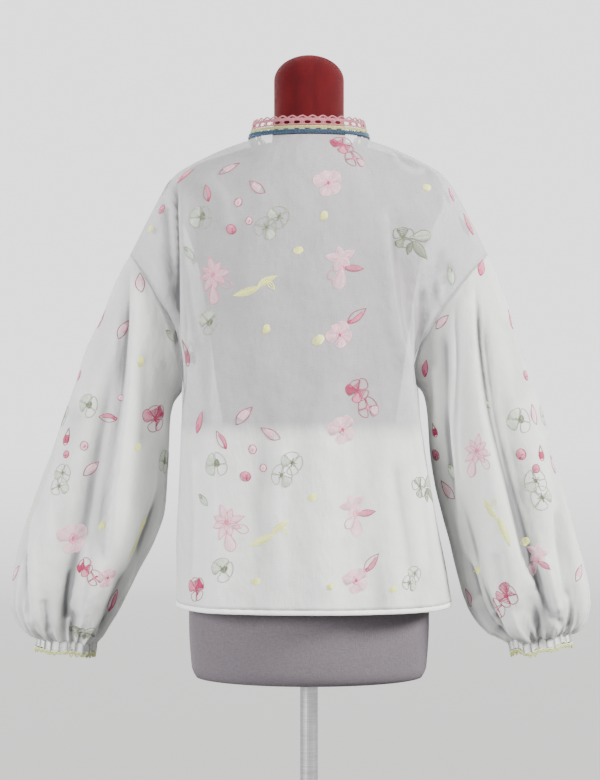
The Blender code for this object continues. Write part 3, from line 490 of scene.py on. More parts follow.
# Colours, red, green and blue as they would show, 0 to 255
WHITE = (255, 255, 255)
COTTON = (238, 239, 237)
# Painted shade for the troughs of folds, deepest first
DEEPEST_PAINTED_SHADE = (132, 132, 134)
CREASE_PAINTED_SHADE = (190, 190, 190)
PINK_YARN = (164, 92, 102)
CREAM_YARN = (166, 164, 100)
TEAL_YARN = (16, 58, 84)
EDGE_YARN = (200, 200, 146)
PICOT_YARN = (176, 184, 112)
LINEN_TONES = ((0.3, (80, 74, 79)), (0.7, (102, 95, 101)))
VELVET_TONES = ((0.3, (58, 5, 10)), (0.7, (80, 9, 14)))
VELVET_SHEEN = (220, 120, 125)
STEEL_TONES = ((0.3, (150, 150, 152)), (0.7, (178, 178, 180)))
# Cotton: how fine its threads, crinkles and soft waves are, how high they stand and how they tone it; then
# the painted shade in the troughs of folds and painted highlight on their ridges
WEAVE_FINE, WEAVE_LONG = 1500, 60
CRINKLE_SCALE, SOFT_SCALE = 90.0, 22.0
CRINKLE_WAYS = (1.0, 1.0, 0.45)
CRINKLE_RISE, SOFT_RISE, WEAVE_RISE = 0.0022, 0.0040, 0.00030
WEAVE_SHARE, CRINKLE_SHARE = 0.32, 0.36
# Painted shade in the troughs of folds and painted highlight on their ridges, read from the fold mark
FOLD_SHADING_TONES = ((0.05, DEEPEST_PAINTED_SHADE), (0.16, CREASE_PAINTED_SHADE), (0.48, (255 * 0.93,) * 3), (0.82, WHITE))
WEAVE_CLEARNESS = (-0.09, 0.06)
# Cloth that folds away from sight lies in layers: below this mark it shows less of what is under it
LAYERED_BELOW, LAYERED_GAIN = 0.46, 1.1
# The cloth shows what is under it most where it lies near the back: heights, and how opaque it is there
SHOW_THROUGH = (0.952, 0.978, 0.78, 0.32)
SLEEVE_OPAQUE = 0.66
# Where it lies near the form's back the cloth is in shade too: share of opaqueness, tone
BACK_SHADE = ((0.36, (239, 235, 238)), (0.60, WHITE))
THREAD_FINE, YARN_FINE = 1400.0, 900.0
# The shader's sockets that hold plain values
SOCKETS = {
    "rough": "Roughness",
    "specular": "Specular IOR Level",
    "sheen": "Sheen Weight",
    "sheen_tint": "Sheen Tint",
    "colour": "Base Color",
    "metallic": "Metallic",
    "glow": "Emission Strength",
}

# Studio
WALL_BASE = (60, 60, 61)
WALL_SPAN = 12.0
# The wall's glow colours: painted shade on the floor near the form, brightening to the wall far behind
WALL_PAINTED_SHADE_TONES = ((0.20, (176, 174, 172)), (0.54, (192, 191, 190)), (0.74, (239, 239, 243)))
WALL_GLOW = 2.4
FLOOR_RADIUS = 9.0
FLOOR_DROP = 0.001
COVE_RADIUS = 2.5
COVE_STEPS = 10
COVE_HEIGHT = 7.0
STUDIO_AROUND = 96
LIGHT_AIM = (0.0, 0.0, 1.05)
LIGHTS = (
    # name, place, size, watts, colour
    ("window", (3.0, -1.4, 2.4), 1.1, 390, (1.0, 0.985, 0.965)),
    ("fill", (-2.6, -2.6, 1.7), 1.6, 270, (1, 1, 1)),
    ("back_left", (-2.2, 2.6, 2.4), 2.2, 170, (1, 1, 1)),
    ("back_right", (2.4, 2.4, 2.4), 2.2, 130, (1, 1, 1)),
)
ROOM_LIGHT = 0.40


# Any way that no yarn runs along
ASKEW = (0.3, 0.5, 0.8)
UPWARDS = np.array([0, 0, 1.0])


def through(rows, at):
    """Each column of a table read at the values `at` of its first one, on a curve with no overshoot."""
    table = np.array(rows, float)
    x, y = table[:, 0], table[:, 1:]
    step = np.diff(x)[:, None]
    slope = np.diff(y, axis=0) / step
    tangent = np.zeros_like(y)
    same_way = slope[:-1] * slope[1:] > 0
    harmonic = 2 * slope[:-1] * slope[1:] / (slope[:-1] + slope[1:] + 1e-30)
    tangent[1:-1][same_way] = harmonic[same_way]
    tangent[0], tangent[-1] = slope[0], slope[-1]
    at = np.clip(np.atleast_1d(np.asarray(at, float)), x[0], x[-1])
    i = np.clip(np.searchsorted(x, at) - 1, 0, len(x) - 2)
    t = ((at - x[i]) / (x[i + 1] - x[i]))[:, None]
    h = step[i]
    return (
        y[i] * (2 * t**3 - 3 * t**2 + 1)
        + tangent[i] * h * (t**3 - 2 * t**2 + t)
        + y[i + 1] * (3 * t**2 - 2 * t**3)
        + tangent[i + 1] * h * (t**3 - t**2)
    )


def ease(x):
    x = np.clip(x, 0.0, 1.0)
    return x * x * (3 - 2 * x)


def unit(vectors):
    return vectors / np.maximum(np.linalg.norm(vectors, axis=-1, keepdims=True), 1e-12)


def bell(distance, width):
    return np.exp(-((distance / width) ** 2))


def linear(colour):
    """Scene colour of a colour given as it shows, 0 to 255."""
    c = np.array(colour, float) / 255
    return tuple(np.where(c <= 0.04045, c / 12.92, ((c + 0.055) / 1.055) ** 2.4)) + (1.0,)


def shade(colour, share):
    return tuple(min(255, c * share) for c in colour)


def seen(points):
    """Where the camera sees points, in the plane of the form's middle: x and height."""
    scale = -CAMERA[1] / (points[..., 1] - CAMERA[1])
    x = CAMERA[0] + (points[..., 0] - CAMERA[0]) * scale
    z = CAMERA[2] + (points[..., 2] - CAMERA[2]) * scale
    return x, z


def run_lengths(points, axis):
    """How far along each line of a grid its points lie."""
    steps = np.linalg.norm(np.diff(points, axis=axis), axis=-1)
    start = np.zeros_like(np.take(steps, [0], axis=axis))
    return np.concatenate([start, np.cumsum(steps, axis=axis)], axis=axis)


def along(at, run, table):
    """The columns of a table read at distances along its run."""
    return np.stack([np.interp(at, run, column) for column in table.T], axis=1)


def quads(rows, columns, ring=False, closed=False):
    """The corners of the squares of a grid of points; a ring's columns meet, and a closed grid's rows."""
    r, c = np.meshgrid(
        np.arange(rows if closed else rows - 1), np.arange(columns if ring else columns - 1), indexing="ij"
    )
    r, c = r.ravel(), c.ravel()
    here, below = r * columns, (r + 1) % rows * columns
    beside = (c + 1) % columns
    return np.stack([here + c, here + beside, below + beside, below + c], axis=1)


def grid_normals(points, ring=False):
    if ring:
        across = np.roll(points, -1, axis=1) - np.roll(points, 1, axis=1)
    else:
        across = np.gradient(points, axis=1)
    return unit(np.cross(across, np.gradient(points, axis=0)))


def blurred(values, times, ring=False):
    """Each value of a grid shared out to its neighbours that many times."""
    for _ in range(times):
        for axis in (0, 1):
            if axis == 1 and ring:
                before, after = np.roll(values, 1, axis=1), np.roll(values, -1, axis=1)
            else:
                last = values.shape[axis] - 1
                before = np.take(values, np.maximum(np.arange(last + 1) - 1, 0), axis=axis)
                after = np.take(values, np.minimum(np.arange(last + 1) + 1, last), axis=axis)
            values = (before + 2 * values + after) / 4
    return values


def fold_shading_mark(raised, ring=False):
    """0 in the troughs of folds, 1 on their ridges, 0.5 on plain cloth: the mark for painted shade in troughs
    and painted highlight on ridges.
    """
    near = blurred(raised, FINE_REACH, ring)
    around = blurred(near, BROAD_REACH, ring)
    fine, broad = np.tanh((raised - near) / FINE_DEPTH), np.tanh((near - around) / BROAD_DEPTH)
    return 0.5 + FINE_WEIGHT * fine + BROAD_WEIGHT * broad


# The cloth's base surfaces, as in the solids


def column_shares():
    """The shares u of a panel's columns, from one side seam to the other."""
    side = np.linspace(-1, -NECK_SHARE, SIDE_COLUMNS + 1)
    neck = np.linspace(-NECK_SHARE, NECK_SHARE, NECK_COLUMNS + 1)
    return np.concatenate([side, neck[1:-1], -side[::-1]])


def body_section(face, u, height):
    """The hanging body at one height: x to each side, and y to the back or front."""
    left, right, back, front = through(BODY_SECTIONS, height).T
    power = 2 / SECTION_ROUNDNESS[face]
    half = np.where(u < 0, left, right)
    x = half * np.sign(u) * abs(np.sin(u * pi / 2)) ** power
    depth = back if face == BACK else front
    return x, face * depth * abs(np.cos(u * pi / 2)) ** power


def neck_level(u):
    """1 at the middle of the neck, 0 at the side of the neck and beyond it."""
    return np.cos(np.clip(abs(u) / NECK_SHARE, 0, 1) * pi / 2)


def top_edge(face, u):
    """The shoulder line, and the line over the neck that the panel aims at: x, y and height."""
    out, height = through(SHOULDER_LINE, np.maximum(abs(u), NECK_SHARE)).T
    level = neck_level(u)
    x = np.sign(u) * out * np.sqrt(1 - level**2)
    return x, face * NECK_DEPTH[face] * level, height - NECK_DROP[face] * level


def panel_base(face):
    """The base surface of a body panel: rows from the hem up to the shoulder, columns across it."""
    u = column_shares()
    shoulder_x, shoulder_y, shoulder_z = top_edge(face, u)
    underarm = UNDERARM_Z[LEFT] + (UNDERARM_Z[RIGHT] - UNDERARM_Z[LEFT]) * ease((u + 1) / 2)
    lean = np.where(u < 0, ARM_LEAN[LEFT], ARM_LEAN[RIGHT])
    near_side = ease((abs(u) - SIDE_ZONE) / (1 - SIDE_ZONE))
    inner, outer = RIDGE_ZONE
    ridge = 1 - (1 - RIDGE_ROUNDNESS) * ease((abs(u) - inner) / (outer - inner))
    rows = []
    for share in np.linspace(0, 1, FINE_BELOW_ARM + 1)[:-1]:
        z = HEM_Z + (underarm - HEM_Z) * share
        rows.append(np.stack([*body_section(face, u, z), z], axis=1))
    whole_x, middle_y = body_section(face, u, underarm)
    level = neck_level(u)
    turn = SHOULDER_TURN + (NECK_TURN[face] - SHOULDER_TURN) * level**2
    whole_height = 1 - NECK_CUT[face] * level**NECKLINE_POWER / (shoulder_z - underarm)
    even = np.linspace(0, 1, FINE_ABOVE_ARM + 1)
    for share in (1 - ROW_BUNCHING) * even + ROW_BUNCHING * (1 - np.cos(pi * even)) / 2:
        up = share * whole_height
        z = underarm + (shoulder_z - underarm) * up
        reach = through(ARMHOLE_REACH, share)[0][0] / abs(middle_y).max()
        cut = 1 - asin(reach ** (SECTION_ROUNDNESS[face] / 2)) / (pi / 2)
        x, y = body_section(face, u * cut, underarm)
        x += (whole_x[[0, -1]] - x[[0, -1]])[(u > 0).astype(int)] * near_side
        x += (shoulder_x - x) * up**lean
        y = shoulder_y + (y - shoulder_y) * (1 - up**turn) ** ridge
        rows.append(np.stack([x, y, z], axis=1))
    grid = np.array(rows)
    for column in (0, -1):
        grid[: FINE_BELOW_ARM + 1, column, 1] = 0
    return grid


def soften_neck_sides(grid):
    """Smooths the panel across where its neck columns end, below its top edge."""
    below = ease((1 - np.linspace(0, 1, len(grid))) / BELOW_TOP_SHARE)
    near = bell(abs(column_shares()) - NECK_SHARE, NECK_SIDE_REACH)[None, :, None] * below[:, None, None]
    smooth = grid
    for _ in range(NECK_SIDE_ROUNDS):
        inner = (smooth[:, :-2] + 2 * smooth[:, 1:-1] + smooth[:, 2:]) / 4
        smooth = np.concatenate([smooth[:, :1], inner, smooth[:, -1:]], axis=1)
    return grid + (smooth - grid) * near


def panel_folds(face, base):
    """How far each point of a panel is raised by the long folds; nothing at its side edges."""
    raised = np.zeros(base.shape[:2])
    for top_x, foot_x, top_z, foot_z, width, depth in BODY_FOLDS[face]:
        share = np.clip((top_z - base[..., 2]) / (top_z - foot_z), 0, 1)
        middle = top_x + (foot_x - top_x) * share
        strength = ease(share / FOLD_FADE_IN)
        if foot_z > HEM_Z:
            strength = strength * ease((1 - share) / FOLD_FADE_OUT)
        raised += depth * strength * bell(base[..., 0] - middle, width)
    return raised


def armhole_loop(side, grids):
    """The armhole seam from the end of the shoulder, down the back to the underarm and up the front."""
    column = 0 if side == LEFT else -1
    down = grids[BACK][FINE_BELOW_ARM:, column][::-1]
    up = grids[FRONT][FINE_BELOW_ARM:, column]
    return np.concatenate([down, up[1:-1]])


def sleeve_base(side, loop):
    """The base surface of a sleeve, its rows' places along the table of rings, and its angles."""
    count = len(loop)
    angle = np.arange(count) * 2 * pi / count
    tip, pit = loop[0], loop[count // 2]
    first = (tip[0], tip[2], pit[0], pit[2], ARMHOLE_HALF_DEPTH)
    table = [(k, *row) for k, row in enumerate((first, *SLEEVE_RINGS[side]))]
    # Rows at even distances down the middle of the sleeve
    fine = np.linspace(0, len(table) - 1, SLEEVE_MIDDLE_STEPS)
    ovals = through(table, fine)
    run = run_lengths((ovals[:, :2] + ovals[:, 2:4]) / 2, 0)
    places = np.interp(np.linspace(0, run[-1], FINE_SLEEVE_ROWS + 1), run, fine)
    along_tip = unit(tip - pit)
    height = (loop - pit) @ along_tip
    beside = (loop - pit) - np.outer(height, along_tip)
    beside[:, 1] = 0
    rings = []
    for place, (outer_x, outer_z, inner_x, inner_z, depth) in zip(places, through(table, places)):
        outer, inner = np.array([outer_x, 0, outer_z]), np.array([inner_x, 0, inner_z])
        oval = (outer + inner) / 2 + np.cos(angle)[:, None] * (outer - inner) / 2
        oval[:, 1] = BACK * depth * np.sin(angle)
        keep = max(0.0, 1 - place / (ARMHOLE_BLEND_RINGS + 1))
        carried = inner + np.outer(height / np.linalg.norm(tip - pit), outer - inner) + beside * keep
        carried[:, 1] = loop[:, 1] * depth / ARMHOLE_HALF_DEPTH
        share = keep**ARMHOLE_BLEND_POWER
        rings.append(oval * (1 - share) + carried * share)
    return np.array(rings), places, angle


def sleeve_folds(side, places, angle):
    """Long folds down the sleeve, and the gathers that fan up from the cuff."""
    last = len(SLEEVE_RINGS[side])
    degrees = np.degrees(angle)
    raised = np.zeros((len(places), len(angle)))
    for top, foot, first, end, width, depth in SLEEVE_FOLDS[side]:
        share = np.clip((places - first) / (end - first), 0, 1)
        middle = top + (foot - top) * share
        strength = ease(share / FOLD_FADE_IN) * (1 - FOLD_SOFTENING * ease(4 * share - 3))
        off = (degrees[None, :] - middle[:, None] + 180) % 360 - 180
        raised += depth * strength[:, None] * bell(off, width)
    (slow, slow_waves), (quick, quick_waves) = GATHER_DRIFT
    drift = slow * np.sin(slow_waves * angle + side) + quick * np.sin(quick_waves * angle)
    turn = GATHER_WAVES * angle + drift
    wave = -np.cos(turn) + GATHER_SECOND * np.cos(2 * turn)
    plain, wide, fine = GATHER_FAN
    wide_waves, fine_waves = GATHER_FAN_WAVES
    fan = plain + wide * np.sin(wide_waves * angle + 2 * side) + fine * np.sin(fine_waves * angle)
    near_cuff = np.clip(1 - (last - places[:, None]) / (GATHER_REACH * fan)[None, :], 0, 1)
    uneven = 1 + GATHER_UNEVEN * np.sin(slow_waves * angle + side)
    size = GATHER_DEPTH * near_cuff**GATHER_POWER * uneven
    at_cuff = ease((places[:, None] - last + CUFF_RUN_IN) / CUFF_RUN_IN)
    return raised + wave * (size * (1 - at_cuff) + CUFF_GATHER * at_cuff)


# Creases and ripples, which the solids don't have


def creased(grid, table):
    """How far each point of a grid is raised by a table of creases."""
    x, z = seen(grid)
    here = np.stack([x.ravel(), z.ravel()], axis=1)
    raised = np.zeros(len(here))
    for width, depth, skew, *line in table:
        ends = np.reshape(line, (-1, 2)) / 1000
        even = np.linspace(0, 1, CREASE_STEPS)
        path = through(np.column_stack([np.linspace(0, 1, len(ends)), ends]), even)
        near = np.full(len(here), np.inf)
        beside = np.zeros(len(here))
        share = np.zeros(len(here))
        for i in range(CREASE_STEPS - 1):
            way = path[i + 1] - path[i]
            off = here - path[i]
            t = np.clip(off @ way / (way @ way), 0, 1)
            gap = np.linalg.norm(off - t[:, None] * way, axis=1)
            closer = gap < near
            near = np.where(closer, gap, near)
            beside = np.where(closer, np.sign(way[0] * off[:, 1] - way[1] * off[:, 0]), beside)
            share = np.where(closer, (i + t) / (CREASE_STEPS - 1), share)
        fade = ease(share / CREASE_FADE) * ease((1 - share) / CREASE_FADE)
        raised += depth / 1000 * fade * bell(near, width / 1000 * (1 + skew * beside))
    return raised.reshape(grid.shape[:2])


def rippled(grid, seed):
    """Slight unevenness of hanging cotton: a few soft waves of different lengths and ways."""
    random = np.random.default_rng(seed)
    raised = np.zeros(grid.shape[:2])
    for _ in range(RIPPLE_WAVES):
        way = random.normal(size=3) * np.array(RIPPLE_WAYS)
        length = random.uniform(*RIPPLE_LENGTHS)
        raised += np.sin(grid @ (unit(way) * 2 * pi / length) + random.uniform(0, 2 * pi)) * length
    return raised * RIPPLE / abs(raised).max()


def side_fade():
    """1 on a panel, 0 at its side edges, so that seams stay where the solids have them."""
    return ease((1 - abs(column_shares())) / SIDE_SEAM_SHARE)


# Meshes


def place_mesh(name, points, faces, finishes):
    """A smooth mesh in the scene, as an object."""
    mesh = bpy.data.meshes.new(name)
    mesh.from_pydata(np.asarray(points).tolist(), [], faces)
    mesh.shade_smooth()
    for finish in finishes:
        mesh.materials.append(finish)
    thing = bpy.data.objects.new(name, mesh)
    bpy.context.scene.collection.objects.link(thing)
    return thing


def shell(name, outer, normals, finish, fold_shading, ring=False):
    """A thin closed cloth between a grid of points and its copy one thickness inwards."""
    rows, columns = outer.shape[:2]
    points = np.concatenate([outer.reshape(-1, 3), (outer - normals * SHEET).reshape(-1, 3)])
    wrapped = np.concatenate([outer, outer[:, :1]], axis=1) if ring else outer
    across, down = run_lengths(wrapped, 1), run_lengths(wrapped, 0)
    place = np.stack([across - across.mean(axis=1, keepdims=True), down], axis=-1).reshape(-1, 2)
    quad, map_quad = quads(rows, columns, ring), place[quads(*wrapped.shape[:2])]
    middle = quad[len(quad) // 2]
    p = points[middle]
    if np.cross(p[1] - p[0], p[3] - p[0]) @ normals.reshape(-1, 3)[middle[0]] < 0:
        quad, map_quad = quad[:, ::-1], map_quad[:, ::-1]
    # Rims round the open edges, found as the sides that only one square has
    pairs = [[i, (i + 1) % 4] for i in range(4)]
    sides = np.concatenate([quad[:, pair] for pair in pairs])
    side_maps = np.concatenate([map_quad[:, pair] for pair in pairs])
    keys = np.sort(sides, axis=1) @ np.array([rows * columns, 1])
    _, first, count = np.unique(keys, return_index=True, return_counts=True)
    edges = first[count == 1]
    a, b = sides[edges].T
    rim = np.stack([b, a, a + rows * columns, b + rows * columns], axis=1)
    faces = np.concatenate([quad, quad[:, ::-1] + rows * columns, rim])
    maps = np.concatenate([map_quad, map_quad[:, ::-1], side_maps[edges][:, [1, 0, 0, 1]]])
    thing = place_mesh(name, points, faces.tolist(), [finish])
    # The fold mark: it paints shade in the troughs and highlight on the ridges
    mark = thing.data.attributes.new("fold_shading", "FLOAT", "POINT")
    mark.data.foreach_set("value", np.tile(fold_shading.ravel(), 2).astype(np.float32))
    layer = thing.data.uv_layers.new(name="weave")
    layer.data.foreach_set("uv", maps.reshape(-1).astype(np.float32))
    return thing


class Heap:
    """Gathers many small closed forms into one mesh, each with its own finish."""

    def __init__(self):
        self.points, self.faces, self.kinds, self.count = [], [], [], 0

    def add(self, points, faces, kind):
        self.points.append(points)
        self.faces += [[i + self.count for i in face] for face in faces]
        self.kinds += [kind] * len(faces)
        self.count += len(points)

    def tube(self, path, radius, sides=6, closed=False, kind=0, flat=1.0, up=None):
        """A round or flattened yarn along a path; `up` holds its flat way."""
        count = len(path)
        if closed:
            way = unit(np.roll(path, -1, axis=0) - np.roll(path, 1, axis=0))
        else:
            way = unit(np.gradient(path, axis=0))
        if up is None:
            up = np.zeros_like(path)
            up[0] = unit(np.cross(way[0], ASKEW))
            for i in range(1, count):
                up[i] = unit(up[i - 1] - way[i] * (up[i - 1] @ way[i]))
        else:
            up = unit(up - way * np.sum(up * way, axis=1, keepdims=True))
        side = np.cross(way, up)
        angle = (np.arange(sides) * 2 * pi / sides)[None, :, None]
        ring = np.cos(angle) * side[:, None] + flat * np.sin(angle) * up[:, None]
        points = (path[:, None] + ring * radius).reshape(-1, 3)
        faces = quads(count, sides, ring=True, closed=closed)[:, [0, 3, 2, 1]].tolist()
        if not closed:
            faces.append(list(range(sides)))
            faces.append([(count - 1) * sides + k for k in reversed(range(sides))])
        self.add(points, faces, kind)

    def ridge(self, path, normals, width, kind):
        """A stitched line on the cloth: a low four-sided bar along a path."""
        side = unit(np.cross(unit(np.gradient(path, axis=0)), normals)) * width[:, None]
        low, high = path - normals * THREAD_SINK, path + normals * THREAD_HEIGHT
        corners = [low - side / 2, high - side / 4, high + side / 4, low + side / 2]
        faces = quads(len(path), 4, ring=True).tolist()
        faces += [[3, 2, 1, 0], [(len(path) - 1) * 4 + k for k in range(4)]]
        self.add(np.stack(corners, axis=1).reshape(-1, 3), faces, kind)

    def piece(self, name, finishes):
        thing = place_mesh(name, np.concatenate(self.points), self.faces, finishes)
        thing.data.polygons.foreach_set("material_index", np.array(self.kinds, np.int32))
        return thing


# Motifs: strokes of thread colour, points and width, on a plane


def moved(strokes, turn=0.0, at=(0.0, 0.0), size=1.0):
    angle = radians(turn)
    way = np.array([[cos(angle), sin(angle)], [-sin(angle), cos(angle)]])
    return [(colour, points @ way * size + np.array(at), width) for colour, points, width in strokes]


def drop_outline(length, width, curl, round_end):
    """A petal from its foot at the origin up the second axis: pointed, or with a wide round end."""
    t = np.linspace(0, 1, PETAL_POINTS)
    if round_end:
        t = np.sin(t * pi / 2)
        half = width / 2 * np.sin(pi * t ** ROUND_PETAL[0]) ** ROUND_PETAL[1]
    else:
        half = width / 2 * np.sin(pi * t**POINTED_PETAL)
    bend = curl * length * t**2
    return [np.stack([bend + side * half, length * t], axis=1) for side in (-1, 1)]


def petal(
    length, width, turn=0.0, at=(0.0, 0.0), line="rose", fill=None, part=(0.0, 1.0), half=False, curl=0.0,
    vein=False, round_end=False,
):
    """The stitches of one petal: its outline, and satin stitches over part of it."""
    left, right = drop_outline(length, width, curl, round_end)
    strokes = [(line, np.concatenate([left, right[::-1]]), THREAD_WIDTH)]
    if vein:
        strokes.append((line, (left + right)[2:-3] / 2, THREAD_WIDTH * VEIN_SHARE))
    if fill:
        t = (left[:, 1] - left[0, 1]) / (left[-1, 1] - left[0, 1])
        for k in np.linspace(*part, max(3, int(length * (part[1] - part[0]) / SATIN_STEP))):
            a, b = (np.array([np.interp(k, t, edge[:, i]) for i in (0, 1)]) for edge in (left, right))
            if half:
                a = (a + b) / 2
            b[1] += SATIN_SLANT
            share = np.linspace(SATIN_INSET, 1 - SATIN_INSET, 4)[:, None]
            strokes.append((fill, a + (b - a) * share, SATIN_WIDTH))
    return moved(strokes, turn, at)


def lobe(length, width, turn, at, line, fill=None, part=(0.1, 0.9)):
    """A round-ended petal."""
    return petal(length, width, turn, at, line, fill, part, round_end=True)


def outline_ring(colour, wide, high):
    angle = np.linspace(0, 2 * pi, RING_POINTS)
    return [(colour, np.stack([wide * np.sin(angle), high * np.cos(angle)], axis=1), THREAD_WIDTH)]


def spot(colour, wide, high, at=(0.0, 0.0)):
    """A small oval of satin stitches."""
    strokes = []
    for k in np.arange(-high, high + 1e-6, SPOT_STEP):
        reach = wide * max(SPOT_BLUNTNESS, 1 - (k / high) ** 2) ** 0.5
        ends = np.array([[-reach, k - SPOT_LEAN], [0, k], [reach, k + SPOT_LEAN]]) + np.array(at)
        strokes.append((colour, ends, SATIN_WIDTH))
    return strokes


def flower(radius, line, petals=5, fills=(), centre=None, at=(0.0, 0.0), turn=0.0):
    """Round petals about a centre, no two alike; fills gives the thread and reach of the filled ones."""
    strokes = []
    filled = {i: (thread, (low, high)) for i, thread, low, high in fills}
    for i in range(petals):
        thread, part = filled.get(i, (None, (0.0, 0.0)))
        long = radius * (FLOWER_LENGTHS[0] + FLOWER_LENGTHS[1] * sin(FLOWER_LENGTHS[2] * i + petals))
        share = FLOWER_WIDTHS[0] + FLOWER_WIDTHS[1] * cos(FLOWER_WIDTHS[2] * i)
        wide = radius * 2 * sin(pi / petals) * share
        way = turn + FLOWER_TURNS[0] * sin(FLOWER_TURNS[1] * i + 1) + i * 360 / petals
        aim = np.array([-sin(radians(way)), cos(radians(way))])
        strokes += petal(
            long, wide, way, at=np.array(at) + aim * radius * FLOWER_FOOT, line=line, fill=thread, part=part,
            curl=FLOWER_CURLS[0] * sin(FLOWER_CURLS[1] * i), round_end=True,
        )
    if centre:
        strokes += spot(centre, radius * CENTRE_SIZE[0], radius * CENTRE_SIZE[1], at=at)
        for angle in range(0, 360, 360 // petals):
            lead = radians(angle + turn + CENTRE_TURN)
            tip = np.array([sin(lead), cos(lead)]) * radius * CENTRE_REACH
            strokes.append((centre, np.array([np.array(at), tip * 0.5 + at, tip + at]), THREAD_WIDTH))
    return strokes


def star(petals, reach, width, line, fill, at=(0.0, 0.0), turn=0.0):
    """Narrow petals about a centre, no two alike."""
    strokes = []
    for i in range(petals):
        long = reach * (1 + STAR_LENGTHS[0] * sin(STAR_LENGTHS[1] * i + petals))
        way = turn + 360 / petals * i + STAR_TURNS[0] * sin(STAR_TURNS[1] * i)
        strokes += petal(long, width, way, at=at, line=line, fill=fill, part=STAR_PART)
    return strokes


def draw_motifs():
    """The stitches of each motif, about its middle."""
    foot = PETAL_FOOT
    blush_fills = [(i, "blush", *FULL_PART) for i in range(5)]
    hot_fills = ((0, "hot", 0.05, 0.62), (1, "pink", 0.2, 0.9), (3, "hot", 0.0, 0.35), (4, "hot", 0.0, 0.75))
    pair_fills = ((0, "hot", 0.0, 0.45), (1, "hot", 0.1, 0.92), (2, "pink", 0.1, 0.9), (3, "hot", 0.0, 0.5))
    sage_fills = ((0, "mist", 0.1, 0.9), (1, "mist", 0.1, 0.9))
    return {
        "petal_full": petal(0.031, 0.012, 0, foot, "rose", "pink", (0.08, 0.92), curl=0.08)
        + petal(0.013, 0.007, 0, foot, "hot", "hot", (0.1, 0.9)),
        "petal_half": petal(0.031, 0.012, 0, foot, "rose", "pink", (0.1, 0.8), half=True, vein=True)
        + spot("hot", 0.0024, 0.0036, (0.001, -0.0110)),
        "petal_line": petal(0.032, 0.013, 0, foot, "rose", "blush", (0.3, 0.7), curl=0.16),
        "bud_ring": spot("blush", 0.0046, 0.0048)
        + spot("rose", 0.0022, 0.0018, (0.0006, -0.001))
        + outline_ring("rose", 0.0052, 0.0060),
        "bud_full": spot("pink", 0.0050, 0.0056)
        + spot("hot", 0.0044, 0.0026, (0, -0.0030))
        + outline_ring("rose", 0.0060, 0.0070),
        "bud_long": lobe(0.034, 0.015, 180, (0, 0.017), "rose", "hot", (0.42, 0.84))
        + lobe(0.019, 0.009, 180, (0, 0.015), "moss"),
        "hot_flower": flower(0.0185, "rose", 5, hot_fills, "hot", turn=12),
        "hot_pair": flower(0.0155, "rose", 5, pair_fills, "hot", (-0.004, 0.009), 14)
        + flower(0.0140, "rose", 4, ((2, "blush", 0.3, 0.9),), "pink", (0.006, -0.014), 52),
        "blush_flower": flower(0.0175, "blush", 5, blush_fills)
        + spot("pink", 0.0056, 0.0060)
        + spot("rose", 0.0020, 0.0026),
        "blush_pair": star(8, 0.0190, 0.0085, "pink", "blush", (0.0, 0.006))
        + lobe(0.024, 0.013, 174, (-0.003, -0.004), "pink", "blush")
        + lobe(0.020, 0.010, -128, (0.005, 0.0), "pink")
        + spot("pink", 0.0030, 0.0036, (0, 0.006)),
        "blush_spray": star(5, 0.0170, 0.0095, "blush", "blush", (-0.004, 0.014), 20)
        + petal(0.024, 0.008, -84, (0.002, 0.003), "rose", "pink", (0.1, 0.85))
        + lobe(0.028, 0.015, 176, (-0.001, 0.004), "blush", "blush")
        + lobe(0.020, 0.011, 136, (-0.002, 0.002), "pink")
        + spot("pink", 0.0042, 0.0050, (-0.001, 0.004)),
        "sage_flower": flower(0.0165, "sage", 4, sage_fills, "moss", turn=25)
        + spot("moss", 0.0034, 0.0050, (0.003, 0.001)),
        "sage_pair": flower(0.0150, "sage", 4, ((1, "mist", 0.1, 0.9),), "moss", (0.008, 0.009))
        + flower(0.0155, "sage", 4, ((2, "mist", 0.1, 0.9),), "moss", (-0.006, -0.008), 35),
        "sage_leaf": petal(0.026, 0.011, 30, (0.006, -0.011), "sage", "mist", vein=True)
        + petal(0.010, 0.005, -150, (-0.006, 0.011), "moss", "moss", (0.0, 0.8)),
        "sage_cluster": flower(
            0.0130, "moss", 5, ((0, "moss", 0.1, 0.7), (2, "sage", 0.1, 0.9)), "moss", (-0.012, 0.006)
        )
        + petal(0.028, 0.014, -82, (-0.004, 0.006), "moss", "mist", vein=True, round_end=True)
        + petal(0.028, 0.011, -136, (0.0, 0.002), "moss", "sage", vein=True)
        + petal(0.014, 0.007, 170, (-0.003, 0.0), "moss", "moss", (0.0, 0.7)),
        "lemon_twig": petal(0.036, 0.0090, 100, (0.0, -0.001), "lemon", "lemon", (0.0, 0.95), curl=0.1)
        + petal(0.028, 0.0080, -62, (-0.002, 0.0), "lemon", "lemon", (0.0, 0.85), curl=0.2)
        + petal(0.014, 0.006, -150, (0.012, 0.004), "lemon", vein=True),
        "lemon_spot": spot("lemon", 0.0070, 0.0046),
    }


def in_metres(motifs):
    return [(kind, across / 1000, z / 1000, turn, size) for kind, across, z, turn, size in motifs]


def body_motifs():
    """Repeats of the body's embroidery, each one step lower than the last, and the single motifs."""
    rows = []
    for k in REPEATS:
        for kind, x, z, turn, size in in_metres(BODY_REPEAT):
            x, z = x + REPEAT_STEP[0] * k, z + REPEAT_STEP[1] * k
            if REPEAT_FOOT < z < REPEAT_TOP and (k < 1 or z < SECOND_TOP):
                rows.append((kind, x, z, turn + REPEAT_TURN * k, size))
    return rows + in_metres(BODY_SINGLES)


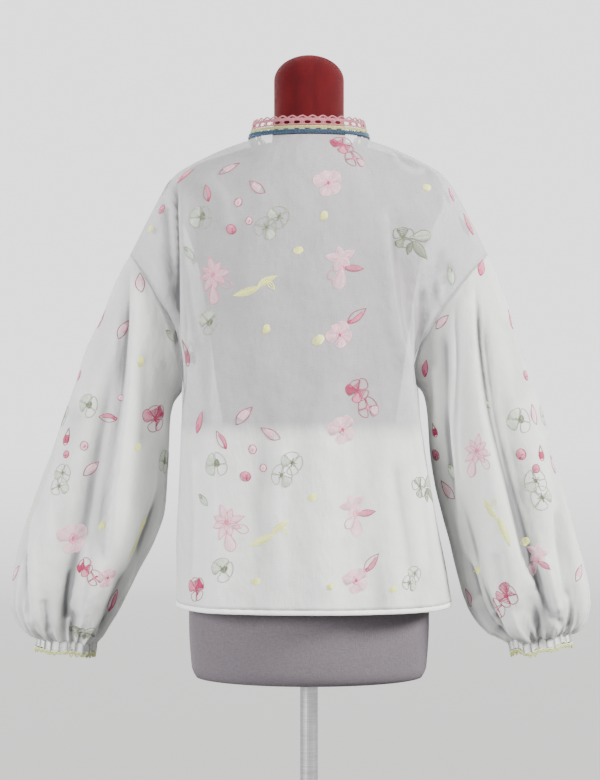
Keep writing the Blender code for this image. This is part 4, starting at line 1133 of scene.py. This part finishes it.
def both_sides(motifs):
    """Where motifs lie on the side that the camera sees, and where they repeat on the side turned away."""
    shown = [(kind, CAMERA, (x, 0, z), turn, size) for kind, x, z, turn, size in motifs]
    hidden = []
    for kind, x, z, turn, size in motifs:
        x = x * HIDDEN_SHRINK
        hidden.append((kind, (x, FAR, z), (x, 0, z), -turn, size))
    return shown, hidden


def outer_side(side):
    """Where motifs lie on the outer side of a sleeve."""
    motifs = in_metres(OUTER_MOTIFS)
    return [(kind, (side * FAR, y, z), (0, y, z), turn, size) for kind, y, z, turn, size in motifs]


class Cloth:
    """A finished cloth surface that stitches can be laid on."""

    def __init__(self, grid, normals, ring=False):
        self.grid, self.normals = grid, normals
        self.faces = quads(*grid.shape[:2], ring).tolist()
        self.tree = BVHTree.FromPolygons(grid.reshape(-1, 3).tolist(), self.faces)

    def embroidered(self, word, places, motifs, finishes):
        """Stitches motifs where their sight lines, each from a start through an aim, meet the cloth."""
        heap = Heap()
        for kind, start, aim, turn, size in places:
            way = (Vector(aim) - Vector(start)).normalized()
            place, _, index, _ = self.tree.ray_cast(Vector(start), way)
            if place is not None:
                normal = unit(self.normals.reshape(-1, 3)[self.faces[index][0]])
                self.stitch(heap, moved(motifs[kind], turn, size=size), np.array(place), normal)
        return heap.piece(f"embroidery_{word}", finishes)

    def stitch(self, heap, strokes, place, normal):
        """Lays strokes on the cloth about a place; those that would leave it are left out."""
        right = unit(np.cross(UPWARDS, normal))
        up = np.cross(normal, right)
        for colour, points, width in strokes:
            path, around = [], []
            for point in place + points[:, :1] * right + points[:, 1:] * up:
                near, face_normal, _, _ = self.tree.find_nearest(Vector(point), NEAR_CLOTH)
                if near is None:
                    break
                path.append(near)
                around.append(face_normal)
            if len(path) < len(points):
                continue
            around = np.array(around)
            around *= np.sign(around @ normal)[:, None]
            if (around @ normal).min() < FLATTEST_STITCH:
                continue
            widths = width * (1 + THREAD_UNEVEN * (-1.0) ** np.arange(len(path)))
            heap.ridge(np.array(path), around, widths, THREAD_KINDS.index(colour))


# Pieces of the blouse


def join_seams(normals):
    """The panels share the way their walls face at their seams."""
    sides = slice(0, FINE_BELOW_ARM + 1)
    shoulder = abs(column_shares()) >= NECK_SHARE - 1e-9
    for seam in ((sides, 0), (sides, -1), (-1, shoulder)):
        both = unit(normals[BACK][seam] + normals[FRONT][seam])
        normals[BACK][seam] = normals[FRONT][seam] = both


def make_panel(face, grid, normals, finish):
    """A panel's cloth: its base surface with long folds, creases and ripples."""
    small = creased(grid, BODY_CREASES[face]) + rippled(grid, PANEL_SEED + face)
    steady = ease(np.linspace(0, 1, len(grid)) / TOP_SEAM_SHARE)[::-1, None]
    raised = panel_folds(face, grid) + small * steady * side_fade()
    outer = grid + normals * raised[..., None]
    outer[..., 2] = np.minimum(outer[..., 2], grid[..., 2].max())
    settled = grid_normals(outer) * -face
    settled[:, [0, -1]] = normals[:, [0, -1]]
    settled[-1] = normals[-1]
    name = f"{FACE_WORDS[face]}_panel_cloth"
    return shell(name, outer, settled, finish, fold_shading=fold_shading_mark(raised)), Cloth(outer, settled)


def make_sleeve(side, loop, finish):
    """A sleeve's cloth, and the edge of its wrist: points, the way out of the cloth, and the way down."""
    base, places, angle = sleeve_base(side, loop)
    normals = grid_normals(base, ring=True)
    middle = base.mean(axis=1, keepdims=True)
    normals *= np.sign(np.sum(normals * (base - middle)))
    table = SLEEVE_CREASES[side]
    back_share = ease((np.sin(angle) + SLEEVE_SIDE_BLEND) / (2 * SLEEVE_SIDE_BLEND))
    small = creased(base, table[BACK]) * back_share + creased(base, table[FRONT]) * (1 - back_share)
    small = (small + rippled(base, SLEEVE_SEED + side)) * ease(places / SLEEVE_HEAD_RINGS)[:, None]
    raised = sleeve_folds(side, places, angle) + small
    outer = base + normals * raised[..., None]
    settled = grid_normals(outer, ring=True)
    settled *= np.sign(np.sum(settled * (base - middle)))
    settled[0] = normals[0]
    outer_x, outer_z, inner_x, inner_z, _ = SLEEVE_RINGS[side][-1]
    down = unit(np.cross([inner_x - outer_x, 0, inner_z - outer_z], [0, side, 0]))
    settled[-1] = unit(settled[-1] - np.outer(settled[-1] @ down, down))
    name = f"sleeve_{SIDE_WORDS[side]}_cloth"
    piece = shell(name, outer, settled, finish, ring=True, fold_shading=fold_shading_mark(raised, ring=True))
    return piece, Cloth(outer, settled, ring=True), (outer[-1], settled[-1], down)


def make_cuff(word, wrist, finish):
    """The gathered band: the sleeve's gathers run on into it, drawn in by two rows of stitching."""
    edge, out, down = wrist
    rows = np.linspace(0, 1, CUFF_ROWS)
    drawn = sum(bell(rows - row, CUFF_STITCH_REACH) for row in CUFF_STITCH_ROWS) * CUFF_DRAWN
    grid = np.array([edge + down * (SEAM_GAP + t * CUFF_LENGTH) - out * d for t, d in zip(rows, drawn)])
    normals = np.broadcast_to(out, grid.shape).copy()
    turn = np.arange(len(edge)) * 2 * pi / len(edge)
    # Painted shade between the cuff's gathers and painted highlight on them
    fold_shading = np.tile(0.5 + 0.5 * np.cos(GATHER_WAVES * turn), (CUFF_ROWS, 1))
    return shell(f"cuff_{word}_cloth", grid, normals, finish, ring=True, fold_shading=fold_shading), grid[-1]


def make_edging(word, foot, wrist, finishes):
    """The crocheted edging of a cuff: two soft rows with small picots below them."""
    _, out, down = wrist
    reach = range(-EDGE_SMOOTHING, EDGE_SMOOTHING + 1)
    smooth = sum(np.roll(foot, k, axis=0) for k in reach) / len(reach)
    closed, ways = (np.vstack([row, row[:1]]) for row in (smooth, out))
    run = run_lengths(closed, 0)
    count = EDGE_PICOTS * EDGE_STEPS
    at = np.linspace(0, run[-1], count, endpoint=False)
    ring, way = along(at, run, closed), unit(along(at, run, ways))
    turn = np.arange(count) * 2 * pi / EDGE_STEPS
    heap = Heap()
    for depth, radius, kind in EDGE_ROWS:
        bob = np.sin(turn + depth * EDGE_TURN)[:, None] * EDGE_BOB
        heap.tube(ring + down * (depth + bob) + way * bob, radius, closed=True, kind=kind)
    knots = np.random.default_rng(EDGE_SEED).uniform(*PICOT_UNEVEN, EDGE_PICOTS + 1)
    knots[-1] = knots[0]
    uneven = np.interp(np.arange(count) / EDGE_STEPS, np.arange(EDGE_PICOTS + 1), knots)
    plain, longer, swing = PICOT_DROP
    picot = (plain + longer * uneven + swing * uneven * np.cos(turn))[:, None]
    path = ring + down * picot + way * EDGE_BOB * np.sin(turn)[:, None]
    heap.tube(path, PICOT_RADIUS, 5, closed=True, kind=1)
    return heap.piece(f"cuff_edging_{word}", finishes)


def make_hem(word, cloth, finish):
    """The rolled hem: a soft cord of cloth under the panel's lower edge, stitched and slightly uneven."""
    edge = cloth.grid[0]
    out = unit(cloth.normals[0] * np.array([1, 1, 0]))
    wave = HEM_WAVE * np.sin(np.linspace(0, HEM_WAVES * 2 * pi, len(edge)))
    middle = edge - UPWARDS * (SEAM_GAP + HEM_HEIGHT / 2) + out * (wave - HEM_THICK * HEM_INSET)[:, None]
    heap = Heap()
    heap.tube(middle[1:-1], HEM_THICK / 2 * HEM_FULLNESS, 10, flat=HEM_FLATNESS, up=UPWARDS)
    return heap.piece(f"hem_{word}_cloth", [finish])


class Rim:
    """The neckline as a closed line, with the ways in which the trim stands on it."""

    def __init__(self, grids):
        held = abs(column_shares()) <= NECK_SHARE + 1e-9
        level = neck_level(column_shares()[held])
        edges = [grids[face][-1, held] for face in (BACK, FRONT)]
        leans = [NECK_LEAN[SIDES] + (NECK_LEAN[face] - NECK_LEAN[SIDES]) * level for face in (BACK, FRONT)]
        points, lean = (np.concatenate([back, front[::-1][1:-1]]) for back, front in (edges, leans))
        self.run = run_lengths(np.vstack([points, points[:1]]), 0)
        for _ in range(RIM_ROUNDS):
            points = (np.roll(points, 1, axis=0) + 2 * points + np.roll(points, -1, axis=0)) / 4
        around = unit(np.roll(points, -1, axis=0) - np.roll(points, 1, axis=0))
        out = unit(np.cross(around, UPWARDS))
        if np.sum(out * (points - points.mean(axis=0))) < 0:
            out = -out
        up = UPWARDS * np.cos(lean)[:, None] - out * np.sin(lean)[:, None]
        up = unit(up - around * np.sum(up * around, axis=1, keepdims=True))
        out = unit(out - up * np.sum(out * up, axis=1, keepdims=True))
        table = np.concatenate([points, out, up], axis=1)
        self.table = np.vstack([table, table[:1]])

    def place(self, share, height, depth=0.0):
        """Points at shares of the way round, that far up the trim and out from its middle."""
        rows = along(share % 1.0 * self.run[-1], self.run, self.table)
        height, depth = (np.broadcast_to(value, share.shape)[:, None] for value in (height, depth))
        return rows[:, :3] + rows[:, 6:] * height + rows[:, 3:6] * depth


def make_braid(rim, finish):
    """The teal row: three strands that pass over each other, over a plain core."""
    heap = Heap()
    count = BRAID_STITCHES * STRAND_POINTS // 2
    share = np.arange(count) / count
    for k in range(3):
        phase = share * pi * BRAID_STITCHES + k * 2 * pi / 3
        height = BRAID_HEIGHT + STRAND_RISE * np.sin(phase)
        depth = STRAND_DEPTH + STRAND_SWING * np.sin(2 * phase)
        heap.tube(rim.place(share, height, depth), STRAND_RADIUS, closed=True)
    heap.tube(rim.place(share[::4], BRAID_HEIGHT, CORE_DEPTH), CORE_RADIUS, 8, closed=True)
    return heap.piece("neck_braid_yarn", [finish])


def make_band(rim, finish):
    """The cream row: short slanted stitches side by side over two plain cords, and bars down to the braid."""
    heap = Heap()
    share = np.arange(BAND_POINTS) / BAND_POINTS
    for height, radius in BAND_CORDS:
        heap.tube(rim.place(share, BAND_HEIGHT + height), radius, closed=True)
    for i in range(EYELETS):
        at = (i + np.linspace(-BAR_REACH, BAR_REACH, 5)) / EYELETS
        heap.tube(rim.place(at, BAND_HEIGHT - BAR_DROP, BAR_DEPTH), BAR_RADIUS, 5)
    for i in range(BRAID_STITCHES):
        at = (i + np.linspace(0.0, SLANT_REACH, 4)) / BRAID_STITCHES
        height = BAND_HEIGHT + np.linspace(SLANT_FOOT, SLANT_TOP, 4)
        heap.tube(rim.place(at, height, SLANT_DEPTH), SLANT_RADIUS, 5)
    return heap.piece("neck_band_yarn", [finish])


def make_lace(rim, finish):
    """The pink rows: a foot, posts with round eyelets, a solid band and its scallops."""
    heap = Heap()
    share = np.arange(LACE_POINTS) / LACE_POINTS
    for height in (LACE_FOOT, EYELET_TOP):
        heap.tube(rim.place(share, height), LACE_CORD_RADIUS, closed=True)
    t = np.linspace(0, 1, 5)
    for i in range(EYELETS):
        for lean in (-1, 1):
            at = (i + lean * POST_SPREAD * (2 * t - 1) ** 2) / EYELETS
            height = LACE_FOOT + t * (EYELET_TOP - LACE_FOOT)
            heap.tube(rim.place(at, height, lean * POST_DEPTH), POST_RADIUS, 5)
    # Round corners make each gap an eyelet
    angle = np.linspace(0, 2 * pi, EYELET_POINTS, endpoint=False)
    height = (LACE_FOOT + EYELET_TOP) / 2 + (EYELET_TOP - LACE_FOOT) / 2 * np.sin(angle)
    for i in range(EYELETS):
        at = (i + 0.5 + EYELET_WIDE * np.cos(angle)) / EYELETS
        heap.tube(rim.place(at, height, EYELET_DEPTH), EYELET_RADIUS, 5, closed=True)
    for i in range(BRAID_STITCHES * 2):
        at = (i + np.linspace(*LOOP_REACH, 4)) / (BRAID_STITCHES * 2)
        height = EYELET_TOP + np.linspace(LOOP_FOOT, LOOP_TOP, 4)
        heap.tube(rim.place(at, height, LOOP_DEPTH * (-1) ** i), LOOP_RADIUS, 5)
    heap.tube(
        rim.place(share, EYELET_TOP + LACE_BAND_RISE, LACE_BAND_DEPTH), LACE_BAND_RADIUS, closed=True
    )
    fine = np.arange(EYELETS * SCALLOP_POINTS) / (EYELETS * SCALLOP_POINTS)
    swing = abs(np.sin(fine * pi * EYELETS + pi / 2))
    height = EYELET_TOP + SCALLOP_FOOT + SCALLOP_RISE * swing**SCALLOP_POWER
    heap.tube(rim.place(fine, height), SCALLOP_RADIUS, 5, closed=True)
    return heap.piece("neck_lace_yarn", [finish])


# Dress form


def oval_ring(half, depth, angle, z):
    """Points round a level oval, from the middle of its back."""
    return np.stack([half * np.sin(angle), -depth * np.cos(angle), np.full(len(angle), z)], axis=1)


def closed_skin(name, rings, finish):
    """A closed form through rings of points, with a flat face at each end."""
    count, around = len(rings), len(rings[0])
    faces = [list(reversed(range(around))), list(range((count - 1) * around, count * around))]
    faces += quads(count, around, ring=True).tolist()
    thing = place_mesh(name, np.concatenate(rings), faces, [finish])
    build = bmesh.new()
    build.from_mesh(thing.data)
    bmesh.ops.recalc_face_normals(build, faces=build.faces)
    build.to_mesh(thing.data)
    build.free()
    return thing


def make_torso(finish):
    """The covered torso: smooth between its sections, with rounded top and foot."""
    heights = np.linspace(TORSO_SECTIONS[0][0], TORSO_SECTIONS[-1][0], TORSO_ROWS)
    angle = np.arange(TORSO_AROUND) * 2 * pi / TORSO_AROUND
    rings = []
    for z, (half, back, front) in zip(heights, through(TORSO_SECTIONS, heights)):
        rings.append(oval_ring(half, np.where(np.cos(angle) > 0, back, front), angle, z))
    return closed_skin("form_torso_cover", rings, finish)


def make_neck(finish):
    """The velvet neck: straight sides, a domed top, and a seam down the middle of its back."""
    side = np.array(NECK_PROFILE)
    radius, top = side[-1]
    arc = np.linspace(0, pi / 2, DOME_ROWS)[1:-1]
    dome = np.stack([radius * np.cos(arc), top + (NECK_TOP_Z - top) * np.sin(arc)], axis=1)
    fine = np.linspace(side[0, 1], top, NECK_ROWS)
    straight = np.stack([np.interp(fine, side[:, 1], side[:, 0]), fine], axis=1)
    angle = np.arange(NECK_AROUND) * 2 * pi / NECK_AROUND
    groove = NECK_SEAM_DEPTH * bell(np.sin(angle - NECK_SEAM_TURN), NECK_SEAM_WIDTH)
    rings = []
    for radius, z in np.concatenate([straight, dome, [[NECK_TOP_RADIUS, NECK_TOP_Z]]]):
        r = radius - groove * min(1, radius / NECK_SEAM_END)
        rings.append(oval_ring(r, r, angle, z))
    return closed_skin("form_neck_cover", rings, finish)


# Finishes


class Nodes:
    """A short way to write a material's nodes."""

    def __init__(self, name):
        self.material = bpy.data.materials.new(name)
        self.material.use_nodes = True
        self.tree = self.material.node_tree
        self.shader = self.tree.nodes["Principled BSDF"]

    def add(self, kind, **values):
        node = self.tree.nodes.new(kind)
        for key, value in values.items():
            if key in node.inputs:
                node.inputs[key].default_value = value
            else:
                setattr(node, key, value)
        return node

    def link(self, start, end):
        self.tree.links.new(start, end)

    def place(self):
        return self.add("ShaderNodeTexCoord").outputs["Object"]

    def axes(self, place):
        node = self.add("ShaderNodeSeparateXYZ")
        self.link(place, node.inputs["Vector"])
        return [node.outputs[axis] for axis in "XYZ"]

    def scaled(self, place, scale):
        node = self.add("ShaderNodeMapping", Scale=scale)
        self.link(place, node.inputs["Vector"])
        return node.outputs["Vector"]

    def noise(self, place, scale, detail=3.0):
        node = self.add("ShaderNodeTexNoise", Scale=scale, Detail=detail)
        self.link(place, node.inputs["Vector"])
        return node.outputs["Fac"]

    def maths(self, operation, one, two):
        node = self.add("ShaderNodeMath", operation=operation)
        for socket, value in zip(node.inputs, (one, two)):
            if isinstance(value, (int, float)):
                socket.default_value = value
            else:
                self.link(value, socket)
        return node.outputs[0]

    def blend(self, one, one_share, two, two_share):
        parts = [self.maths("MULTIPLY", *pair) for pair in ((one, one_share), (two, two_share))]
        return self.maths("ADD", *parts)

    def spread(self, value, low, high, start=0.0, end=1.0):
        """A value from start to end turned into one from low to high."""
        node = self.add("ShaderNodeMapRange")
        for name, number in (("From Min", start), ("From Max", end), ("To Min", low), ("To Max", high)):
            node.inputs[name].default_value = number
        self.link(value, node.inputs["Value"])
        return node.outputs["Result"]

    def ramp(self, value, stops):
        node = self.add("ShaderNodeValToRGB")
        while len(node.color_ramp.elements) < len(stops):
            node.color_ramp.elements.new(0.5)
        for element, (place, colour) in zip(node.color_ramp.elements, stops):
            element.position = place
            element.color = linear(colour)
        self.link(value, node.inputs["Fac"])
        return node.outputs["Color"]

    def multiplied(self, one, two):
        node = self.add("ShaderNodeMix", data_type="RGBA", blend_type="MULTIPLY")
        node.inputs["Factor"].default_value = 1.0
        self.link(one, node.inputs[6])
        self.link(two, node.inputs[7])
        return node.outputs[2]

    def bump(self, height, distance, before=None):
        node = self.add("ShaderNodeBump", Distance=distance)
        self.link(height, node.inputs["Height"])
        if before:
            self.link(before, node.inputs["Normal"])
        return node.outputs["Normal"]

    def finished(self, links, **values):
        """Joins nodes to the shader, sets its plain values and gives the material."""
        for name, output in links.items():
            self.link(output, self.shader.inputs[name])
        for key, value in values.items():
            self.shader.inputs[SOCKETS[key]].default_value = value
        return self.material


def cotton(name, opaque):
    """White gauze: crossing threads of uneven thickness, softly crinkled and thin enough to see through, with
    painted shade in the troughs of its folds and painted highlight on their ridges.
    """
    n = Nodes(name)
    weave = n.add("ShaderNodeUVMap").outputs["UV"]
    place = n.place()
    warp = n.noise(n.scaled(weave, (WEAVE_FINE, WEAVE_LONG, 1)), 1.0)
    weft = n.noise(n.scaled(weave, (WEAVE_LONG, WEAVE_FINE, 1)), 1.0)
    threads = n.maths("ADD", warp, weft)
    crinkle = n.noise(n.scaled(place, CRINKLE_WAYS), CRINKLE_SCALE, 4.0)
    soft = n.noise(place, SOFT_SCALE, 2.0)
    bumps = n.bump(threads, WEAVE_RISE, n.bump(soft, SOFT_RISE, n.bump(crinkle, CRINKLE_RISE)))
    mixed = n.blend(threads, WEAVE_SHARE, crinkle, CRINKLE_SHARE)
    tone = n.ramp(mixed, ((0.28, shade(COTTON, 0.955)), (0.72, COTTON)))
    fold_shading = n.add("ShaderNodeAttribute", attribute_name="fold_shading").outputs["Fac"]
    low, high, least, most = opaque
    covered = n.spread(n.axes(place)[2], least, most, low, high)
    # Painted shade in the troughs of folds and painted highlight on their ridges
    both = n.multiplied(tone, n.ramp(fold_shading, FOLD_SHADING_TONES))
    layers = n.maths("MAXIMUM", n.maths("SUBTRACT", LAYERED_BELOW, fold_shading), 0.0)
    clear = n.maths("ADD", covered, n.spread(threads, *WEAVE_CLEARNESS))
    alpha = n.maths("ADD", clear, n.maths("MULTIPLY", layers, LAYERED_GAIN))
    links = {"Normal": bumps, "Base Color": n.multiplied(both, n.ramp(covered, BACK_SHADE)), "Alpha": alpha}
    return n.finished(links, rough=0.92, specular=0.15, sheen=0.25)


def hem_cotton():
    """Rolled cloth: several layers, so brighter and not see-through."""
    n = Nodes("cotton_rolled")
    crinkle = n.noise(n.place(), 420.0)
    tone = n.ramp(crinkle, ((0.3, shade(COTTON, 0.94)), (0.7, COTTON)))
    return n.finished({"Normal": n.bump(crinkle, 0.0006), "Base Color": tone}, rough=0.9)


def yarn(name, colour, fine=YARN_FINE):
    """Spun thread: fine uneven strands, darker between them."""
    n = Nodes(name)
    place = n.place()
    strands, patches = n.noise(place, fine, 2.0), n.noise(place, 60.0, 1.0)
    stops = ((0.30, shade(colour, 0.80)), (0.55, colour), (0.75, shade(colour, 1.08)))
    tone = n.ramp(n.blend(strands, 0.7, patches, 0.3), stops)
    return n.finished({"Base Color": tone, "Normal": n.bump(strands, 0.0005)}, rough=0.7, sheen=0.2)


def linen():
    """The torso's grey woven cover."""
    n = Nodes("form_linen_cover")
    place = n.place()
    across = n.noise(n.scaled(place, (150, 150, 1400)), 1.0)
    down = n.noise(n.scaled(place, (1400, 1400, 150)), 1.0)
    threads = n.maths("ADD", across, down)
    tone = n.ramp(n.maths("MULTIPLY", threads, 0.5), LINEN_TONES)
    return n.finished({"Base Color": tone, "Normal": n.bump(threads, 0.0004)}, rough=0.95)


def velvet():
    """The neck's dark red velvet: a short pile that is lighter where it is brushed."""
    n = Nodes("form_velvet_cover")
    place = n.place()
    pile = n.noise(place, 1600.0, 2.0)
    brushed = n.noise(n.scaled(place, (1.0, 1.0, 0.5)), 45.0, 3.0)
    tone = n.ramp(n.blend(pile, 0.35, brushed, 0.65), VELVET_TONES)
    links = {"Base Color": tone, "Normal": n.bump(pile, 0.0005)}
    return n.finished(links, rough=0.9, specular=0.12, sheen=0.10, sheen_tint=linear(VELVET_SHEEN))


def steel():
    """Brushed metal of the stand."""
    n = Nodes("brushed_steel")
    brushed = n.noise(n.scaled(n.place(), (30, 30, 900)), 1.0)
    links = {"Base Color": n.ramp(brushed, STEEL_TONES), "Roughness": n.spread(brushed, 0.30, 0.42)}
    return n.finished(links, metallic=1.0)


def plain_wall():
    """A wall that glows evenly in strength, with painted shade in its glow colour: the floor near the form is
    greyer than the wall far behind it.
    """
    n = Nodes("studio_wall")
    x, y, z = n.axes(n.place())
    around = n.maths("ADD", n.maths("MULTIPLY", x, x), n.maths("MULTIPLY", y, y))
    away = n.maths("DIVIDE", n.maths("ADD", n.maths("POWER", around, 0.5), z), WALL_SPAN)
    # Painted shade: the glow is darker near the form and low down
    links = {"Emission Color": n.ramp(away, WALL_PAINTED_SHADE_TONES)}
    return n.finished(links, glow=WALL_GLOW, colour=linear(WALL_BASE), rough=1.0, specular=0.0)


# Studio


def make_studio():
    """A wide round floor that curves up into a wall far behind the blouse on every side."""
    profile = [(FLOOR_RADIUS - COVE_RADIUS, 0.0)]
    for a in np.linspace(0, pi / 2, COVE_STEPS)[1:]:
        profile.append((FLOOR_RADIUS - COVE_RADIUS * (1 - sin(a)), COVE_RADIUS * (1 - cos(a))))
    profile.append((FLOOR_RADIUS, COVE_HEIGHT))
    turns = [2 * pi * i / STUDIO_AROUND for i in range(STUDIO_AROUND)]
    points = [(0.0, 0.0, -FLOOR_DROP)]
    points += [(r * cos(a), r * sin(a), z - FLOOR_DROP) for r, z in profile for a in turns]
    faces = [[0, 1 + i, 1 + (i + 1) % STUDIO_AROUND] for i in range(STUDIO_AROUND)]
    faces += (quads(len(profile), STUDIO_AROUND, ring=True)[:, [0, 3, 2, 1]] + 1).tolist()
    studio = place_mesh("studio", points, faces, [plain_wall()])
    # The pale wall doesn't fill in the folds' shading
    studio.visible_diffuse = False
    return studio


def make_lights():
    for name, place, size, watts, colour in LIGHTS:
        data = bpy.data.lights.new(name, "AREA")
        data.shape = "DISK"
        data.size = size
        data.energy = watts
        data.color = colour
        lamp = bpy.data.objects.new(name, data)
        lamp.location = place
        lamp.rotation_euler = (Vector(LIGHT_AIM) - Vector(place)).to_track_quat("-Z", "Y").to_euler()
        lamp.visible_camera = False
        bpy.context.scene.collection.objects.link(lamp)
    world = bpy.data.worlds.new("room")
    world.use_nodes = True
    world.node_tree.nodes["Background"].inputs["Color"].default_value = (1.0, 1.0, 1.0, 1.0)
    world.node_tree.nodes["Background"].inputs["Strength"].default_value = ROOM_LIGHT
    bpy.context.scene.world = world


def make_camera():
    data = bpy.data.cameras.new("camera")
    data.lens = LENS
    camera = bpy.data.objects.new("camera", data)
    camera.location = CAMERA
    camera.rotation_euler = (pi / 2, 0, 0)
    bpy.context.scene.collection.objects.link(camera)
    bpy.context.scene.camera = camera


def declare_cloth(parts, stitched, trims):
    """Gathers, for each panel, its hem and stitches, and for the back the neck trims too; nothing more is
    done with them.
    """
    for word in ("back", "front"):
        with_it = [parts[f"hem_{word}"], stitched[f"{word}_panel"]]
        if word == "back":
            with_it += list(trims.values())


def main():
    gauze = cotton("cotton_gauze", SHOW_THROUGH)
    sleeve_gauze = cotton("cotton_gauze_sleeves", (0.0, 1.0, SLEEVE_OPAQUE, SLEEVE_OPAQUE))
    rolled = hem_cotton()
    grids = {face: soften_neck_sides(panel_base(face)) for face in (BACK, FRONT)}
    normals = {face: grid_normals(grids[face]) * -face for face in (BACK, FRONT)}
    join_seams(normals)
    threads = [yarn(f"thread_{name}", THREADS[name], THREAD_FINE) for name in THREAD_KINDS]
    parts, cloths = {}, {}
    for face, word in FACE_WORDS.items():
        parts[f"{word}_panel"], cloths[word] = make_panel(face, grids[face], normals[face], gauze)
        parts[f"hem_{word}"] = make_hem(word, cloths[word], rolled)
    edge_finishes = [yarn("cream_edging", EDGE_YARN), yarn("green_yellow_edging", PICOT_YARN)]
    for side, word in SIDE_WORDS.items():
        loop = armhole_loop(side, grids)
        parts[f"sleeve_{word}"], cloths[word], wrist = make_sleeve(side, loop, sleeve_gauze)
        parts[f"cuff_{word}"], low = make_cuff(word, wrist, sleeve_gauze)
        parts[f"cuff_edge_{word}"] = make_edging(word, low, wrist, edge_finishes)
    rim = Rim(grids)
    trims = {
        "neck_braid": make_braid(rim, yarn("teal_yarn_spun", TEAL_YARN)),
        "neck_band": make_band(rim, yarn("cream_yarn_spun", CREAM_YARN)),
        "neck_lace": make_lace(rim, yarn("pink_yarn_spun", PINK_YARN)),
    }
    motifs = draw_motifs()
    stitched = {}
    for word, places in zip(FACE_WORDS.values(), both_sides(body_motifs())):
        stitched[f"{word}_panel"] = cloths[word].embroidered(word, places, motifs, threads)
    for side, word in SIDE_WORDS.items():
        shown, hidden = both_sides(in_metres(SLEEVE_MOTIFS[side]))
        places = shown + hidden + outer_side(side)
        stitched[f"sleeve_{word}"] = cloths[word].embroidered(word, places, motifs, threads)
    torso, neck = make_torso(linen()), make_neck(velvet())
    metal = steel()
    for name in ("form_pole", "form_base"):
        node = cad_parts[name]
        node.data.materials.clear()
        node.data.materials.append(metal)

    for node, piece in parts.items():
        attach(piece, "root")
        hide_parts(node)
    for name, piece in trims.items():
        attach(piece, "root")
        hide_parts(f"{name}_back", f"{name}_front")
    for piece in stitched.values():
        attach(piece, "root")
    for node, piece, word in (("form_torso", torso, "form_linen"), ("form_neck", neck, "form_velvet")):
        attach(piece, "root")
        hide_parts(node)
    declare_cloth(parts, stitched, trims)
    make_studio()
    make_lights()
    make_camera()


main()
